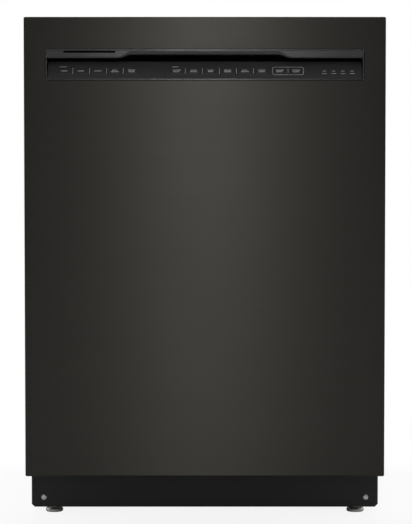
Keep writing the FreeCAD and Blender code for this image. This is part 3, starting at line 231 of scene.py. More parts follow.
@dataclass(frozen=True)
class Moulding:
    """Moulded plastic, rubber or powder coat: fine grain, slow gloss patches and pale worn edges."""

    name: str
    colour: Point
    roughness: float = 0.45
    grain: float = 2500.0
    depth: float = 3e-5
    wear: float = 1.25
    coat: float = 0.0
    specular: float = 0.5

    def build(self) -> bpy.types.Material:
        """Make the material."""
        made = Shader(self.name, Coat_Weight=self.coat, Coat_Roughness=0.08, Specular_IOR_Level=self.specular)
        grain = made.group(Groups.grain(), Fine=self.grain, Slow=22.0)
        edge = made.group(Groups.worn_edge())["Mask"]
        made.feed(Base_Color=made.blend(edge, self.colour, shade(self.colour, self.wear)),
                  Roughness=made.spread(grain["Patches"], self.roughness * 0.88, self.roughness * 1.12))
        made.bump(grain["Grain"], self.depth)
        return made.material


@dataclass(frozen=True)
class Galvanised:
    """Zinc coated steel with spangle."""

    name: str
    colour: Point = (0.42, 0.43, 0.44)
    size: float = 140.0

    def build(self) -> bpy.types.Material:
        """Make the material."""
        made = Shader(self.name, Metallic=1.0)
        cells = made.node("TexVoronoi", Vector=made.node("TexCoord").outputs["Object"], Scale=self.size)
        tone = made.node("SeparateColor", Color=cells.outputs["Color"]).outputs
        made.feed(Base_Color=made.blend(tone["Red"], shade(self.colour, 0.8), shade(self.colour, 1.15)),
                  Roughness=made.spread(tone["Green"], 0.3, 0.48, 0.0, 1.0))
        made.bump(made.group(Groups.grain())["Grain"], 2e-5, 0.3)
        return made.material


@dataclass(frozen=True)
class Felt:
    """Pressed fibre wadding with a soft, lumpy face."""

    name: str
    colour: Point

    def build(self) -> bpy.types.Material:
        """Make the material."""
        made = Shader(self.name, Roughness=0.95, Sheen_Weight=0.3)
        grain = made.group(Groups.grain(), Fine=900.0, Slow=420.0)
        fleck = made.spread(grain["Patches"], 0.0, 1.0, 0.35, 0.65)
        made.feed(Base_Color=made.blend(fleck, shade(self.colour, 0.82), shade(self.colour, 1.12)))
        made.bump(grain["Grain"], 8e-4, 0.8)
        return made.material


FINISHES = {finish.name: finish for finish in (
    BrushedMetal("black_stainless", (0.036, 0.0345, 0.031), 0.37, 2.0, 1400.0, 0.14, 0.95, 6e-6, 0.015),
    BrushedMetal("stainless", (0.50, 0.50, 0.49), 0.26, 4.0, 700.0, 0.12, 0.2),
    BrushedMetal("zinc", (0.5, 0.5, 0.47), 0.32, 60.0, 400.0, 0.15),
    BrushedMetal("heater", (0.16, 0.15, 0.14), 0.45, 200.0, 200.0, 0.3),
    Galvanised("galvanised"),
    Moulding("satin_black", (0.011, 0.011, 0.0115), 0.42, 1800.0, 2e-5, specular=0.25),
    Moulding("console_black", (0.015, 0.015, 0.0155), 0.2, 2600.0, 4e-6, specular=0.5),
    # painted shade: a near-black matte finish that stands in for the shadow inside the finger pocket and the
    # vent slot, darker than the console's own black
    Moulding("pocket_painted_shade", (0.002, 0.002, 0.002), 0.9, 2600.0, 1e-5, specular=0.05),
    Moulding("fascia_black", (0.056, 0.056, 0.057), 0.34, 3000.0, 4e-6, specular=0.4),
    Moulding("key_black", (0.056, 0.056, 0.056), 0.36, 3000.0, 4e-6, specular=0.4),
    Moulding("lens", (0.3, 0.3, 0.3), 0.3, coat=0.3),
    Moulding("print_grey", (0.85, 0.85, 0.84), 0.6, 4000.0, 2e-6, 1.0),
    Moulding("board", (0.02, 0.12, 0.05), 0.4, 800.0, 4e-5),
    Moulding("grey_plastic", (0.33, 0.345, 0.36), 0.42),
    Moulding("dark_plastic", (0.035, 0.036, 0.038), 0.5),
    Moulding("white_plastic", (0.72, 0.72, 0.69), 0.4),
    Moulding("rack_nylon", (0.30, 0.31, 0.325), 0.36, 1500.0, 4e-5, 1.1, 0.2),
    Moulding("rubber_grey", (0.05, 0.05, 0.052), 0.75, 1200.0, 6e-5, 1.1),
    Felt("blanket", (0.36, 0.36, 0.34)),
)}


@cache
def material(name: str) -> bpy.types.Material:
    """The material of one finish, made when first asked for."""
    return FINISHES[name].build()


# --------------------------------------------------------------------- mesh tools
class Axis(Enum):
    """The axis that a round piece or an extrusion lies along."""

    X = Matrix.Rotation(math.radians(90), 4, "Y")
    Y = Matrix.Rotation(math.radians(-90), 4, "X")
    Z = Matrix.Identity(4)


def smooth(obj: bpy.types.Object, angle: float = 35.0) -> None:
    """Shade smooth except at edges sharper than an angle in degrees."""
    for face in obj.data.polygons:
        face.use_smooth = True
    obj.data.set_sharp_from_angle(angle=math.radians(angle))


def finished(bm: BMesh, name: str, body: str, finish: str, *nodes: str,
             slot: Optional[str] = None, angle: float = 35.0, wall: float = 0.0,
             offset: float = 0.0) -> bpy.types.Object:
    """Turn a bmesh into a piece that rides on a body.

    Args:
        bm: the mesh under construction, which is freed.
        name: the piece's name.
        body: the body it moves with.
        finish: the name of its finish.
        nodes: CAD nodes that it stands for.
        slot: the record's material slot, if it isn't the finish's name; not used.
        angle: edges sharper than this stay sharp, in degrees.
        wall: the thickness given to a sheet, in millimetres.
        offset: where that thickness lies, -1 behind the sheet and 0 about it.

    Returns:
        The new object.
    """
    data = bpy.data.meshes.new(name)
    bm.to_mesh(data)
    bm.free()
    obj = bpy.data.objects.new(name, data)
    bpy.context.scene.collection.objects.link(obj)
    obj.data.materials.append(material(finish))
    smooth(obj, angle)
    if wall:
        sheet = obj.modifiers.new("sheet", "SOLIDIFY")
        sheet.thickness = wall * MM
        sheet.offset = offset
        sheet.use_even_offset = offset != 0
    even = obj.modifiers.new("even_shading", "WEIGHTED_NORMAL")
    even.keep_sharp = True
    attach(obj, body)
    slot or finish
    if nodes:
        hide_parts(*nodes)
    return obj


def outward(bm: BMesh) -> None:
    """Merge doubles and turn the faces outwards."""
    bmesh.ops.remove_doubles(bm, verts=bm.verts, dist=1e-6)
    bmesh.ops.recalc_face_normals(bm, faces=bm.faces)


def rounded(bm: BMesh, edges: Iterable[BMEdge], radius: float, segments: int = 3) -> None:
    """Round edges to a radius."""
    bmesh.ops.bevel(bm, geom=list(edges), offset=radius, offset_type="OFFSET", segments=segments, profile=0.5,
                    affect="EDGES", clamp_overlap=True, material=-1)


def joined(bm: BMesh, part: BMesh, place: Optional[Matrix] = None) -> None:
    """Move a part's geometry into a mesh, through a transform if one is given."""
    if place is not None:
        bmesh.ops.transform(part, matrix=place, verts=part.verts)
    data = bpy.data.meshes.new("part")
    part.to_mesh(data)
    part.free()
    bm.from_mesh(data)
    bpy.data.meshes.remove(data)


def add_lathe(bm: BMesh, outline: Sequence[Span], place: Matrix, steps: int = 32) -> None:
    """Add a turned piece.

    Args:
        bm: the mesh to add to.
        outline: (radius, height) pairs along the turned profile, in millimetres.
        place: where the piece's own Z axis lies.
        steps: how many sides a turn has.
    """
    part = bmesh.new()
    verts = [part.verts.new((radius * MM, 0, height * MM)) for radius, height in outline]
    edges = [part.edges.new(pair) for pair in zip(verts, verts[1:])]
    bmesh.ops.spin(part, geom=verts + edges, cent=(0, 0, 0), axis=(0, 0, 1), angle=math.tau, steps=steps,
                   use_merge=True)
    bmesh.ops.remove_doubles(part, verts=part.verts, dist=2e-6)
    bmesh.ops.recalc_face_normals(part, faces=part.faces)
    joined(bm, part, place)


def at(x: float, y: float, z: float, axis: Axis = Axis.Z) -> Matrix:
    """A place in millimetres, with a piece's own Z axis turned to an axis of the frame."""
    return Matrix.Translation(Vector((x, y, z)) * MM) @ axis.value


def add_grid(bm: BMesh, across: Sequence[float], along: Sequence[float],
             surface: Callable[[float, float], Point]) -> None:
    """Add a sheet by laying a grid on a surface.

    Args:
        bm: the mesh to add to.
        across: the values of the first parameter.
        along: the values of the second parameter.
        surface: gives the point in metres for a pair of parameters.
    """
    part = bmesh.new()
    bmesh.ops.create_grid(part, x_segments=len(across) - 1, y_segments=len(along) - 1, size=0.5)
    for vert in part.verts:
        column = round((vert.co.x + 0.5) * (len(across) - 1))
        row = round((vert.co.y + 0.5) * (len(along) - 1))
        vert.co = surface(across[column], along[row])
    joined(bm, part)


def steps(low: float, high: float, count: int) -> list[float]:
    """Evenly spaced values, both ends included."""
    return [low + (high - low) * index / (count - 1) for index in range(count)]


def eased(value: float) -> float:
    """A smooth step from 0 to 1."""
    value = min(max(value, 0.0), 1.0)
    return value * value * (3 - 2 * value)


class RodWork:
    """Round bars along paths with rounded corners, gathered into one mesh."""

    def __init__(self, sides: int = 2) -> None:
        """Start with no bars; sides is the bevel resolution of their section."""
        self.sides = sides
        self.paths: dict[float, list[tuple[list[Vector], bool]]] = {}

    def add(self, points: Sequence[Point], radius: float, bend: float = 0.0, closed: bool = False) -> None:
        """Add a bar, in millimetres.

        Args:
            points: the corners of its path.
            radius: the bar's radius.
            bend: the radius of its bends.
            closed: whether it runs back to its first point.
        """
        corners = [Vector(point) * MM for point in points]
        count = len(corners)
        path: list[Vector] = []
        for index, corner in enumerate(corners):
            inner = closed or 0 < index < count - 1
            if not inner or bend <= 0:
                path.append(corner)
                continue
            back = (corners[index - 1] - corner).normalized()
            ahead = (corners[(index + 1) % count] - corner).normalized()
            half = back.angle(ahead) / 2
            reach = bend * MM / math.tan(half)
            centre = corner + (back + ahead).normalized() * (bend * MM / math.sin(half))
            start, end = corner + back * reach - centre, corner + ahead * reach - centre
            for step in range(6):
                path.append(centre + start.normalized().slerp(end.normalized(), step / 5) * bend * MM)
        self.paths.setdefault(radius, []).append((path, closed))

    def mesh(self) -> BMesh:
        """Give every bar its round section and return them as one mesh."""
        bm = bmesh.new()
        for radius, paths in self.paths.items():
            curve = bpy.data.curves.new("bars", "CURVE")
            curve.dimensions = "3D"
            curve.bevel_depth = radius * MM
            curve.bevel_resolution = self.sides
            curve.use_fill_caps = True
            for path, closed in paths:
                spline = curve.splines.new("POLY")
                spline.points.add(len(path) - 1)
                spline.use_cyclic_u = closed
                for item, spot in zip(spline.points, path):
                    item.co = (*spot, 1)
            holder = bpy.data.objects.new("bars", curve)
            data = bpy.data.meshes.new_from_object(holder)
            bm.from_mesh(data)
            bpy.data.meshes.remove(data)
            bpy.data.objects.remove(holder)
            bpy.data.curves.remove(curve)
        bmesh.ops.remove_doubles(bm, verts=bm.verts, dist=1e-6)
        return bm


def reach(node: str) -> tuple[Vector, Vector]:
    """A CAD node's box in millimetres."""
    low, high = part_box(node)
    return low / MM, high / MM


# ----------------------------------------------------------------- sheet and bar tools
def block(bm: BMesh, x: Span, y: Span, z: Span, radius: float = 0.8, segments: int = 2,
          place: Optional[Matrix] = None) -> None:
    """Add a block with rounded edges.

    Args:
        bm: the mesh to add to.
        x: the span that it fills across, in millimetres.
        y: the span that it fills from front to back.
        z: the span that it fills upwards.
        radius: its edges' rounding, in millimetres.
        segments: how many steps that rounding has.
        place: a transform for the block, if it isn't upright in the frame.
    """
    low, high = (Vector([span[side] * MM for span in (x, y, z)]) for side in (0, 1))
    size = high - low
    part = bmesh.new()
    bmesh.ops.create_cube(part, size=1.0)
    bmesh.ops.scale(part, vec=size, verts=part.verts)
    bmesh.ops.translate(part, vec=(high + low) / 2, verts=part.verts)
    if radius:
        rounded(part, part.edges, min(radius * MM, min(size) * 0.49), segments)
    joined(bm, part, place)


def of_kind(made: dict, kind: type) -> list:
    """The elements of one kind among an operator's results."""
    return [item for item in made["geom"] if isinstance(item, kind)]


def lies_at(edge: BMEdge, axis: int, value: float, slack: float = 1e-6) -> bool:
    """Whether an edge lies in the plane where an axis has a value, in metres."""
    return all(abs(vert.co[axis] - value) < slack for vert in edge.verts)


def turned(place: Matrix, count: int) -> Iterator[Matrix]:
    """Places evenly turned about a place's own Z axis."""
    for turn in range(count):
        yield place @ Matrix.Rotation(math.tau * turn / count, 4, "Z")


def box_corner(node: str, side: int) -> Vector:
    """A field that holds the low (0) or high (1) corner of a CAD node's box, in millimetres."""
    return field(default_factory=lambda: reach(node)[side])


def key_nodes() -> list[str]:
    """The names of the key nodes."""
    return [node for node in frame["nodes"] if node.endswith("_key") or "_key_" in node]


def round_loop(centre: Span, radius: float, count: int = 24) -> list[Span]:
    """Points of a circle in millimetres."""
    return [(centre[0] + radius * math.cos(math.tau * index / count),
             centre[1] + radius * math.sin(math.tau * index / count)) for index in range(count)]


def box_loop(u: Span, v: Span, radius: float = 0.0, count: int = 5) -> list[Span]:
    """Points of a rectangle in millimetres, with round corners if a radius is given."""
    if radius <= 0:
        return [(u[0], v[0]), (u[1], v[0]), (u[1], v[1]), (u[0], v[1])]
    points = []
    corners = ((u[1] - radius, v[0] + radius, 270), (u[1] - radius, v[1] - radius, 0),
               (u[0] + radius, v[1] - radius, 90), (u[0] + radius, v[0] + radius, 180))
    for cu, cv, start in corners:
        for step in range(count):
            angle = math.radians(start + 90 * step / (count - 1))
            points.append((cu + radius * math.cos(angle), cv + radius * math.sin(angle)))
    return points


def front_face(y: float) -> Matrix:
    """A drawing plane across the front at a depth in millimetres, with its normal to the front."""
    return Matrix.Translation((0, y * MM, 0)) @ Matrix.Rotation(math.pi / 2, 4, "X")


def side_face(x: float) -> Matrix:
    """A drawing plane along the side at a place in millimetres, with its normal to +X."""
    return Matrix(((0, 0, 1, x * MM), (1, 0, 0, 0), (0, 1, 0, 0), (0, 0, 0, 1)))


def level(z: float) -> Matrix:
    """A level drawing plane at a height in millimetres."""
    return Matrix.Translation((0, 0, z * MM))


def add_plate(bm: BMesh, loops: Sequence[Sequence[Span]], thickness: float, place: Matrix,
              edge: float = 0.0) -> None:
    """Add a flat plate with holes.

    Args:
        bm: the mesh to add to.
        loops: the outline, then each hole, as points in millimetres.
        thickness: how thick the plate is, along the drawing plane's normal.
        place: the drawing plane.
        edge: the rounding of its sharp edges.
    """
    part = bmesh.new()
    for loop in loops:
        verts = [part.verts.new((u * MM, v * MM, 0)) for u, v in loop]
        for pair in zip(verts, verts[1:] + verts[:1]):
            part.edges.new(pair)
    bmesh.ops.triangle_fill(part, use_beauty=True, use_dissolve=False, edges=part.edges[:], normal=(0, 0, 1))
    made = bmesh.ops.extrude_face_region(part, geom=part.faces[:])
    verts = of_kind(made, BMVert)
    bmesh.ops.translate(part, vec=(0, 0, thickness * MM), verts=verts)
    bmesh.ops.recalc_face_normals(part, faces=part.faces)
    if edge:
        sharp = [item for item in part.edges if len(item.link_faces) == 2 and item.calc_face_angle(0) > 0.9
                 and abs(item.verts[0].co.z - item.verts[1].co.z) < 1e-7]
        rounded(part, sharp, edge * MM, 1)
    joined(bm, part, place)


def mirrored(bm: BMesh) -> None:
    """Add the same geometry on the other side of the middle."""
    made = bmesh.ops.duplicate(bm, geom=bm.verts[:] + bm.edges[:] + bm.faces[:])
    bmesh.ops.scale(bm, vec=(-1, 1, 1), verts=of_kind(made, BMVert))
    bmesh.ops.reverse_faces(bm, faces=of_kind(made, BMFace))


def screw_head(bm: BMesh, place: Matrix, radius: float = 4.0) -> None:
    """Add a pan head with a cross recess, standing on a place along its +Z."""
    add_lathe(bm, ((0, -1), (radius * 0.6, -1), (radius, 0), (radius, 0.6), (radius * 0.7, 1.7), (0, 2.0)),
              place, 16)
    for turn in (0, 90):
        spin = place @ Matrix.Rotation(math.radians(turn), 4, "Z")
        block(bm, (-radius * 0.5, radius * 0.5), (-0.35, 0.35), (1.5, 2.15), 0.1, 1, spin)


def hex_loop(centre: Span, across: float) -> list[Span]:
    """Corners of a hexagon with a width across its flats."""
    return round_loop(centre, across / math.sqrt(3), 6)


def wing(bm: BMesh, sections: Sequence[tuple[float, float, float, float]], place: Matrix,
         sides: int = 20, square: float = 0.7) -> None:
    """Add a lofted bar along local X.

    Args:
        bm: the mesh to add to.
        sections: for each station, its x, its middle's y, its half width and its half height.
        place: where it goes.
        sides: points round a section.
        square: below 1 makes the section fuller than an ellipse.
    """
    part = bmesh.new()

    def full(value: float) -> float:
        """A sine or cosine swelled towards a square section."""
        return math.copysign(abs(value) ** square, value)

    rings = []
    for x, middle, width, height in sections:
        ring = []
        for turn in range(sides):
            angle = math.tau * turn / sides
            y, z = middle + width * full(math.cos(angle)), height * full(math.sin(angle))
            ring.append(part.verts.new((x * MM, y * MM, z * MM)))
        rings.append([part.edges.new(pair) for pair in zip(ring, ring[1:] + ring[:1])])
    for near, far in zip(rings, rings[1:]):
        bmesh.ops.bridge_loops(part, edges=near + far)
    bmesh.ops.holes_fill(part, edges=rings[0] + rings[-1], sides=0)
    bmesh.ops.recalc_face_normals(part, faces=part.faces)
    joined(bm, part, place)


def thread(radius: float, low: float, high: float, pitch: float, depth: float) -> list[Span]:
    """The outline of a screw thread drawn as rings, from low to high."""
    count = max(1, round((high - low) / pitch))
    outline = []
    for index in range(count):
        start = low + (high - low) * index / count
        outline += [(radius - depth, start), (radius, start + (high - low) / count / 2)]
    return outline + [(radius - depth, high)]


# ------------------------------------------------------------------- door and front
@dataclass
class DoorSkin:
    """The folded outer skin with its console opening, and the toe kick below it."""

    sheet: float = 1.2
    corner: float = 2.6
    front_edge: float = 2.2
    opening_edge: float = 0.9
    hem: float = 7.0
    low: Vector = box_corner("door_panel", 0)
    high: Vector = box_corner("door_panel", 1)

    def build(self) -> None:
        """Make the skin, the toe kick and its screws."""
        self._skin()
        self._toe_kick()
        self._screws()

    def _skin(self) -> None:
        """Bend one sheet round the door: front, returns and hems, with the opening cut."""
        console_low, console_high = reach("console_bezel")
        half, gap = console_high.x + 0.3, 0.3
        top = Console.opening_top()
        bm = bmesh.new()
        xs = (self.low.x, -half, half, self.high.x)
        zs = (self.low.z, console_low.z - gap, top + gap, self.high.z)
        add_grid(bm, xs, zs, lambda x, z: (x * MM, self.low.y * MM, z * MM))
        middle = [face for face in bm.faces if abs(face.calc_center_median().x) < half * MM
                  and zs[1] * MM < face.calc_center_median().z < zs[2] * MM]
        bmesh.ops.delete(bm, geom=middle, context="FACES")
        outer, inner = [], []
        for edge in [edge for edge in bm.edges if edge.is_boundary]:
            (inner if self._beside_opening(edge, half, zs) else outer).append(edge)
        back = (self.high.y - self.low.y) * MM
        made = bmesh.ops.extrude_edge_only(bm, edges=outer)
        verts = of_kind(made, BMVert)
        bmesh.ops.translate(bm, vec=(0, back, 0), verts=verts)
        rim = of_kind(made, BMEdge)
        folded = bmesh.ops.extrude_edge_only(bm, edges=rim)
        verts = of_kind(folded, BMVert)
        centre = Vector((0, self.high.y, (self.low.z + self.high.z) / 2)) * MM
        width, height = self.high.x - self.low.x, self.high.z - self.low.z
        shrink = Vector((1 - 2 * self.hem / width, 1, 1 - 2 * self.hem / height))
        bmesh.ops.scale(bm, vec=shrink, space=Matrix.Translation(-centre), verts=verts)
        made = bmesh.ops.extrude_edge_only(bm, edges=inner)
        verts = of_kind(made, BMVert)
        bmesh.ops.translate(bm, vec=(0, 2.4 * MM, 0), verts=verts)
        corners = [edge for edge in bm.edges
                   if abs(edge.verts[0].co.y - edge.verts[1].co.y) > 1e-4]
        rounded(bm, corners, self.corner * MM, 4)
        for inside, radius, count in ((False, self.front_edge, 4), (True, self.opening_edge, 3)):
            sharp = [edge for edge in bm.edges if lies_at(edge, 1, self.low.y * MM)
                     and self._beside_opening(edge, half, zs) == inside
                     and any(abs(face.normal.y) < 0.5 for face in edge.link_faces)]
            rounded(bm, sharp, radius * MM, count)
        outward(bm)
        finished(bm, "door_skin", "door", "black_stainless", "door_panel", wall=self.sheet, offset=-1.0)

    @staticmethod
    def _beside_opening(edge: BMEdge, half: float, zs: Sequence[float]) -> bool:
        """Whether an edge runs round the console opening."""
        spot = (edge.verts[0].co + edge.verts[1].co) / 2 / MM
        return abs(spot.x) < half + 1 and zs[1] - 1 < spot.z < zs[2] + 1

    def _toe_kick(self) -> None:
        """Fold the kick plate's edges back and clip its lower corners."""
        low, high = reach("toe_kick")
        notch = 5.0
        bm = bmesh.new()
        outline = [(low.x + notch, low.z), (high.x - notch, low.z), (high.x, low.z + notch), (high.x, high.z),
                   (low.x, high.z), (low.x, low.z + notch)]
        face = bm.faces.new([bm.verts.new((x * MM, low.y * MM, z * MM)) for x, z in outline])
        bm.normal_update()
        made = bmesh.ops.extrude_edge_only(bm, edges=list(face.edges))
        verts = of_kind(made, BMVert)
        bmesh.ops.translate(bm, vec=(0, (high.y - low.y) * MM, 0), verts=verts)
        rounded(bm, list(face.edges), 1.4 * MM, 3)
        outward(bm)
        finished(bm, "kick_plate", "cabinet", "satin_black", "toe_kick", wall=self.sheet, offset=-1.0)

    def _screws(self) -> None:
        """Two washer-head screws with a cross recess."""
        low, high = reach("toe_kick_screws")
        bm = bmesh.new()
        for x in (low.x + 5, high.x - 5):
            z = (low.z + high.z) / 2
            add_lathe(bm, ((0, 0.2), (3.4, 0.2), (4.9, 1.6), (5, 2.5), (2.0, 2.5), (2.0, high.y - low.y),
                           (0, high.y - low.y)),
                      at(x, low.y, z, Axis.Y), 24)
            for turn in (45, 135):
                spin = at(x, low.y, z, Axis.Y) @ Matrix.Rotation(math.radians(turn), 4, "Z")
                block(bm, (-2.6, 2.6), (-0.4, 0.4), (-0.25, 0.5), 0.1, 1, spin)
        finished(bm, "kick_screws", "cabinet", "zinc", "toe_kick_screws")


@dataclass
class Console:
    """The recessed console: rim, grip lip, finger pocket and printed marks."""

    wall: float = 2.3
    lip_high: float = 14.7
    lip_rise: float = 5.3
    grip_half: float = 122.0
    grip_run: float = 23.0
    lip_thick: float = 10.0
    tilt: float = math.radians(41)
    vent: tuple[float, float] = (-237.0, -150.0)
    low: Vector = box_corner("console_bezel", 0)
    high: Vector = box_corner("console_bezel", 1)

    @staticmethod
    def opening_top() -> float:
        """The console opening's upper edge, below the moulding's hidden top."""
        return reach("console_bezel")[1].z - 10.3

    def lower_edge(self, x: float) -> float:
        """The lip's lower edge, which rises over the grip in two soft bends."""
        share = eased((self.grip_half + self.grip_run - abs(x)) / self.grip_run)
        return self.opening_top() - self.lip_high + self.lip_rise * share

    def build(self) -> None:
        """Make the moulding, its ribs and everything printed on the fascia and the keys."""
        self._moulding()
        self._ribs()
        self._marks()

    def _profile(self, x: float) -> list[tuple[float, float]]:
        """The lip and pocket section at one place, from the rim over the lip to the sill."""
        front, back = self.low.y, self.high.y
        top = self.opening_top()
        edge = self.lower_edge(x)
        grip = eased((self.grip_half + self.grip_run - abs(x)) / self.grip_run)
        face = front + 0.9
        belly = 1.2 + 3.8 * grip
        points = [(front + 0.1, top), (front + 0.1, top - 1.5), (face, top - 2.2)]
        points += [(face, z) for z in steps(top - 2.6, edge + belly + 1.0, 7)]
        for turn in steps(0.15, 1.0, 7):
            angle = turn * math.pi / 2
            points.append((face + belly * (1 - math.cos(angle)), edge + belly * (1 - math.sin(angle))))
        ceiling = self.high.z - self.wall
        points += [(front + self.lip_thick - 2, edge), (front + self.lip_thick - 0.6, edge + 0.6),
                   (front + self.lip_thick, edge + 2), (front + self.lip_thick, ceiling - 3),
                   (front + self.lip_thick + 3, ceiling), (back - self.wall - 3, ceiling),
                   (back - self.wall, ceiling - 3), (back - self.wall, self.low.z + 34),
                   (back - self.wall, self.low.z + self.wall)]
        return points

    def _moulding(self) -> None:
        """Sweep the section across the console, close its ends and add the rim and sill."""
        half = self.high.x - self.wall
        xs = sorted(set(steps(-half, half, 41)) | set(self.vent) | {
            sign * x for sign in (-1, 1) for x in steps(self.grip_half, self.grip_half + self.grip_run, 13)})
        sections = {x: self._profile(x) for x in xs}
        count = len(next(iter(sections.values())))
        bm = bmesh.new()
        add_grid(bm, xs, list(range(count)),
                 lambda x, row: (x * MM, sections[x][int(row)][0] * MM, sections[x][int(row)][1] * MM))
        slot_low, slot_high = self._vent_rows(sections[xs[0]])
        slot = [face for face in bm.faces if self._in_vent(face, slot_low, slot_high)]
        made = bmesh.ops.extrude_face_region(bm, geom=slot)
        verts = of_kind(made, BMVert)
        bmesh.ops.translate(bm, vec=(0, 7 * MM, 0), verts=verts)
        bmesh.ops.delete(bm, geom=slot, context="FACES")
        outward(bm)
        up = [face for face in bm.faces if abs(face.calc_center_median().z - self.opening_top() * MM) < 4e-3]
        if sum(face.normal.y for face in up) > 0:
            bmesh.ops.reverse_faces(bm, faces=bm.faces)
        bmesh.ops.solidify(bm, geom=bm.faces[:], thickness=0.6 * MM)
        self._ends(bm, half)
        self._rim(bm, half)
        outward(bm)
        obj = finished(bm, "console_moulding", "door", "console_black", "console_bezel", angle=30)
        # Faces deep in the finger pocket and vent slot get the painted-shade finish: their shadow is painted
        # as near-black colour on the same moulding
        obj.data.materials.append(material("pocket_painted_shade"))
        for face in obj.data.polygons:
            if face.center.y > (self.low.y + 4.5) * MM:
                face.material_index = 1

    def _vent_rows(self, section: Sequence[tuple[float, float]]) -> Span:
        """The heights between which the vent slot is cut."""
        heights = sorted({z for _, z in section[3:10]}, reverse=True)
        return heights[2], heights[0]

    def _in_vent(self, face: BMFace, low: float, high: float) -> bool:
        """Whether a face of the lip lies in the vent slot."""
        spot = face.calc_center_median() / MM
        return (self.vent[0] < spot.x < self.vent[1] and low < spot.z < high
                and abs(spot.y - self.low.y - 0.9) < 0.2)

    def _ends(self, bm: BMesh, half: float) -> None:
        """Close the pocket at both ends with drafted walls."""
        for sign in (-1, 1):
            block(bm, sorted((sign * half, sign * self.high.x)), (self.low.y + 0.9, self.high.y),
                  (self.low.z, self.high.z), 0.5)

    def _rim(self, bm: BMesh, half: float) -> None:
        """A narrow polished rim round the opening and the shell's hidden back."""
        front, top, low = self.low.y + 0.1, self.opening_top(), self.low.z
        thin, deep = 1.7, 3.0
        whole, back = (-half, half), self.high.y
        for sign in (-1, 1):
            side = sorted((sign * (self.high.x - thin), sign * self.high.x))
            block(bm, side, (front, front + deep), (low, top), 0.5, 3)
        block(bm, (-self.high.x, self.high.x), (front, front + deep), (low, low + thin), 0.5, 3)
        block(bm, whole, (front + 1, back), (low, low + self.wall), 0.3)
        block(bm, whole, (back - 1, back), (low, self.high.z), 0.3)
        block(bm, whole, (self.low.y + 2, back), (self.high.z - 1, self.high.z), 0.3)

    def _ribs(self) -> None:
        """Upright ribs that stiffen the finger pocket."""
        bm = bmesh.new()
        ledge = reach("control_fascia")[1].z
        for x in (-100.0, 100.0):
            block(bm, (x - 1, x + 1), (self.low.y + self.lip_thick - 1, self.high.y - 2),
                  (ledge + 14, self.high.z - 2), 0.4)
        # The ribs get the painted-shade finish too: shade in the pocket painted as near-black, though their
        # slot is console black
        finished(bm, "pocket_ribs", "door", "pocket_painted_shade", slot="console_black")

    def slope(self, x: float, up: float, out: float) -> Matrix:
        """A place on the tilted fascia, in millimetres."""
        foot = reach("control_fascia")[0]
        turn = Matrix.Rotation(math.pi / 2 - self.tilt, 4, "X")
        return Matrix.Translation(foot * MM) @ Matrix.Translation(Vector((-foot.x * MM, 0, 0))) @ turn @ \
            Matrix.Translation(Vector((x, up, out)) * MM)

    def _bar(self, bm: BMesh, x: Span, up: Span) -> None:
        """A printed bar on the fascia."""
        block(bm, x, up, (0, 0.05), 0, place=self.slope(0, 0, 0.01))

    def _marks(self) -> None:
        """Printed bars, dots and rules in place of lettering."""
        row = KEY_ROW
        self._key_marks(row)
        bm = bmesh.new()
        for first, pitch, count in ((-235.9, 28.25, 5), (-47.0, 28.6, 6)):
            for index in range(count - 1):
                x = first + pitch * (index + 0.5)
                self._bar(bm, (x - 0.25, x + 0.25), (row - 6.5, row + 6.5))
            self._bar(bm, (first - 8, first + 3), (row + 9, row + 9.8))
        middle = (126.1 + 153.8) / 2
        self._bar(bm, (middle - 0.25, middle + 0.25), (row - 5, row + 5))
        self._outline(bm, middle, row, 26.0, 9.0)
        for x in LAMP_PLACES:
            self._bar(bm, (x - 4, x + 4), (row - 6.6, row - 5.8))
        finished(bm, "fascia_print", "door", "print_grey", slot="fascia_black")

    def _outline(self, bm: BMesh, x: float, up: float, half: float, high: float) -> None:
        """A printed ring with round corners about the start and cancel keys."""
        line = RodWork(1)
        corners = [(x - half, up - high, 0), (x + half, up - high, 0), (x + half, up + high, 0),
                   (x - half, up + high, 0)]
        line.add(corners, 0.25, 4.0, True)
        part = line.mesh()
        bmesh.ops.scale(part, vec=(1, 1, 0.3), verts=part.verts)
        joined(bm, part, self.slope(0, 0, 0.02))

    def _strokes(self, bm: BMesh, x: float, up: float, half: float) -> None:
        """A row of short strokes of unequal width, which say nothing."""
        place = x - half
        for width in (1.5, 1.0, 1.3, 0.9, 1.6, 1.1, 1.4, 1.0, 1.2, 1.5):
            if place + width > x + half:
                break
            self._bar(bm, (place, place + width), (up - 0.75, up + 0.75))
            place += width + 0.45

    def _key_marks(self, row: float) -> None:
        """A generic pictogram of short bars on each key, riding with it."""
        widths = (6.5, 5.0, 5.5, 6.0, 4.5, 6.2)
        for index, name in enumerate(sorted(key_nodes())):
            low, high = reach(name)
            x = (low.x + high.x) / 2
            bm = bmesh.new()
            single = name in ("cycle_key_1", "cycle_key_2", "cycle_key_3")
            for line in range(1 if single else 2):
                half = widths[(index + 2 * line) % len(widths)]
                centre = row if single else row + 1.9 - 3.8 * line
                self._strokes(bm, x, centre, half)
            finished(bm, f"{name}_mark", name, "print_grey", slot="key_black")


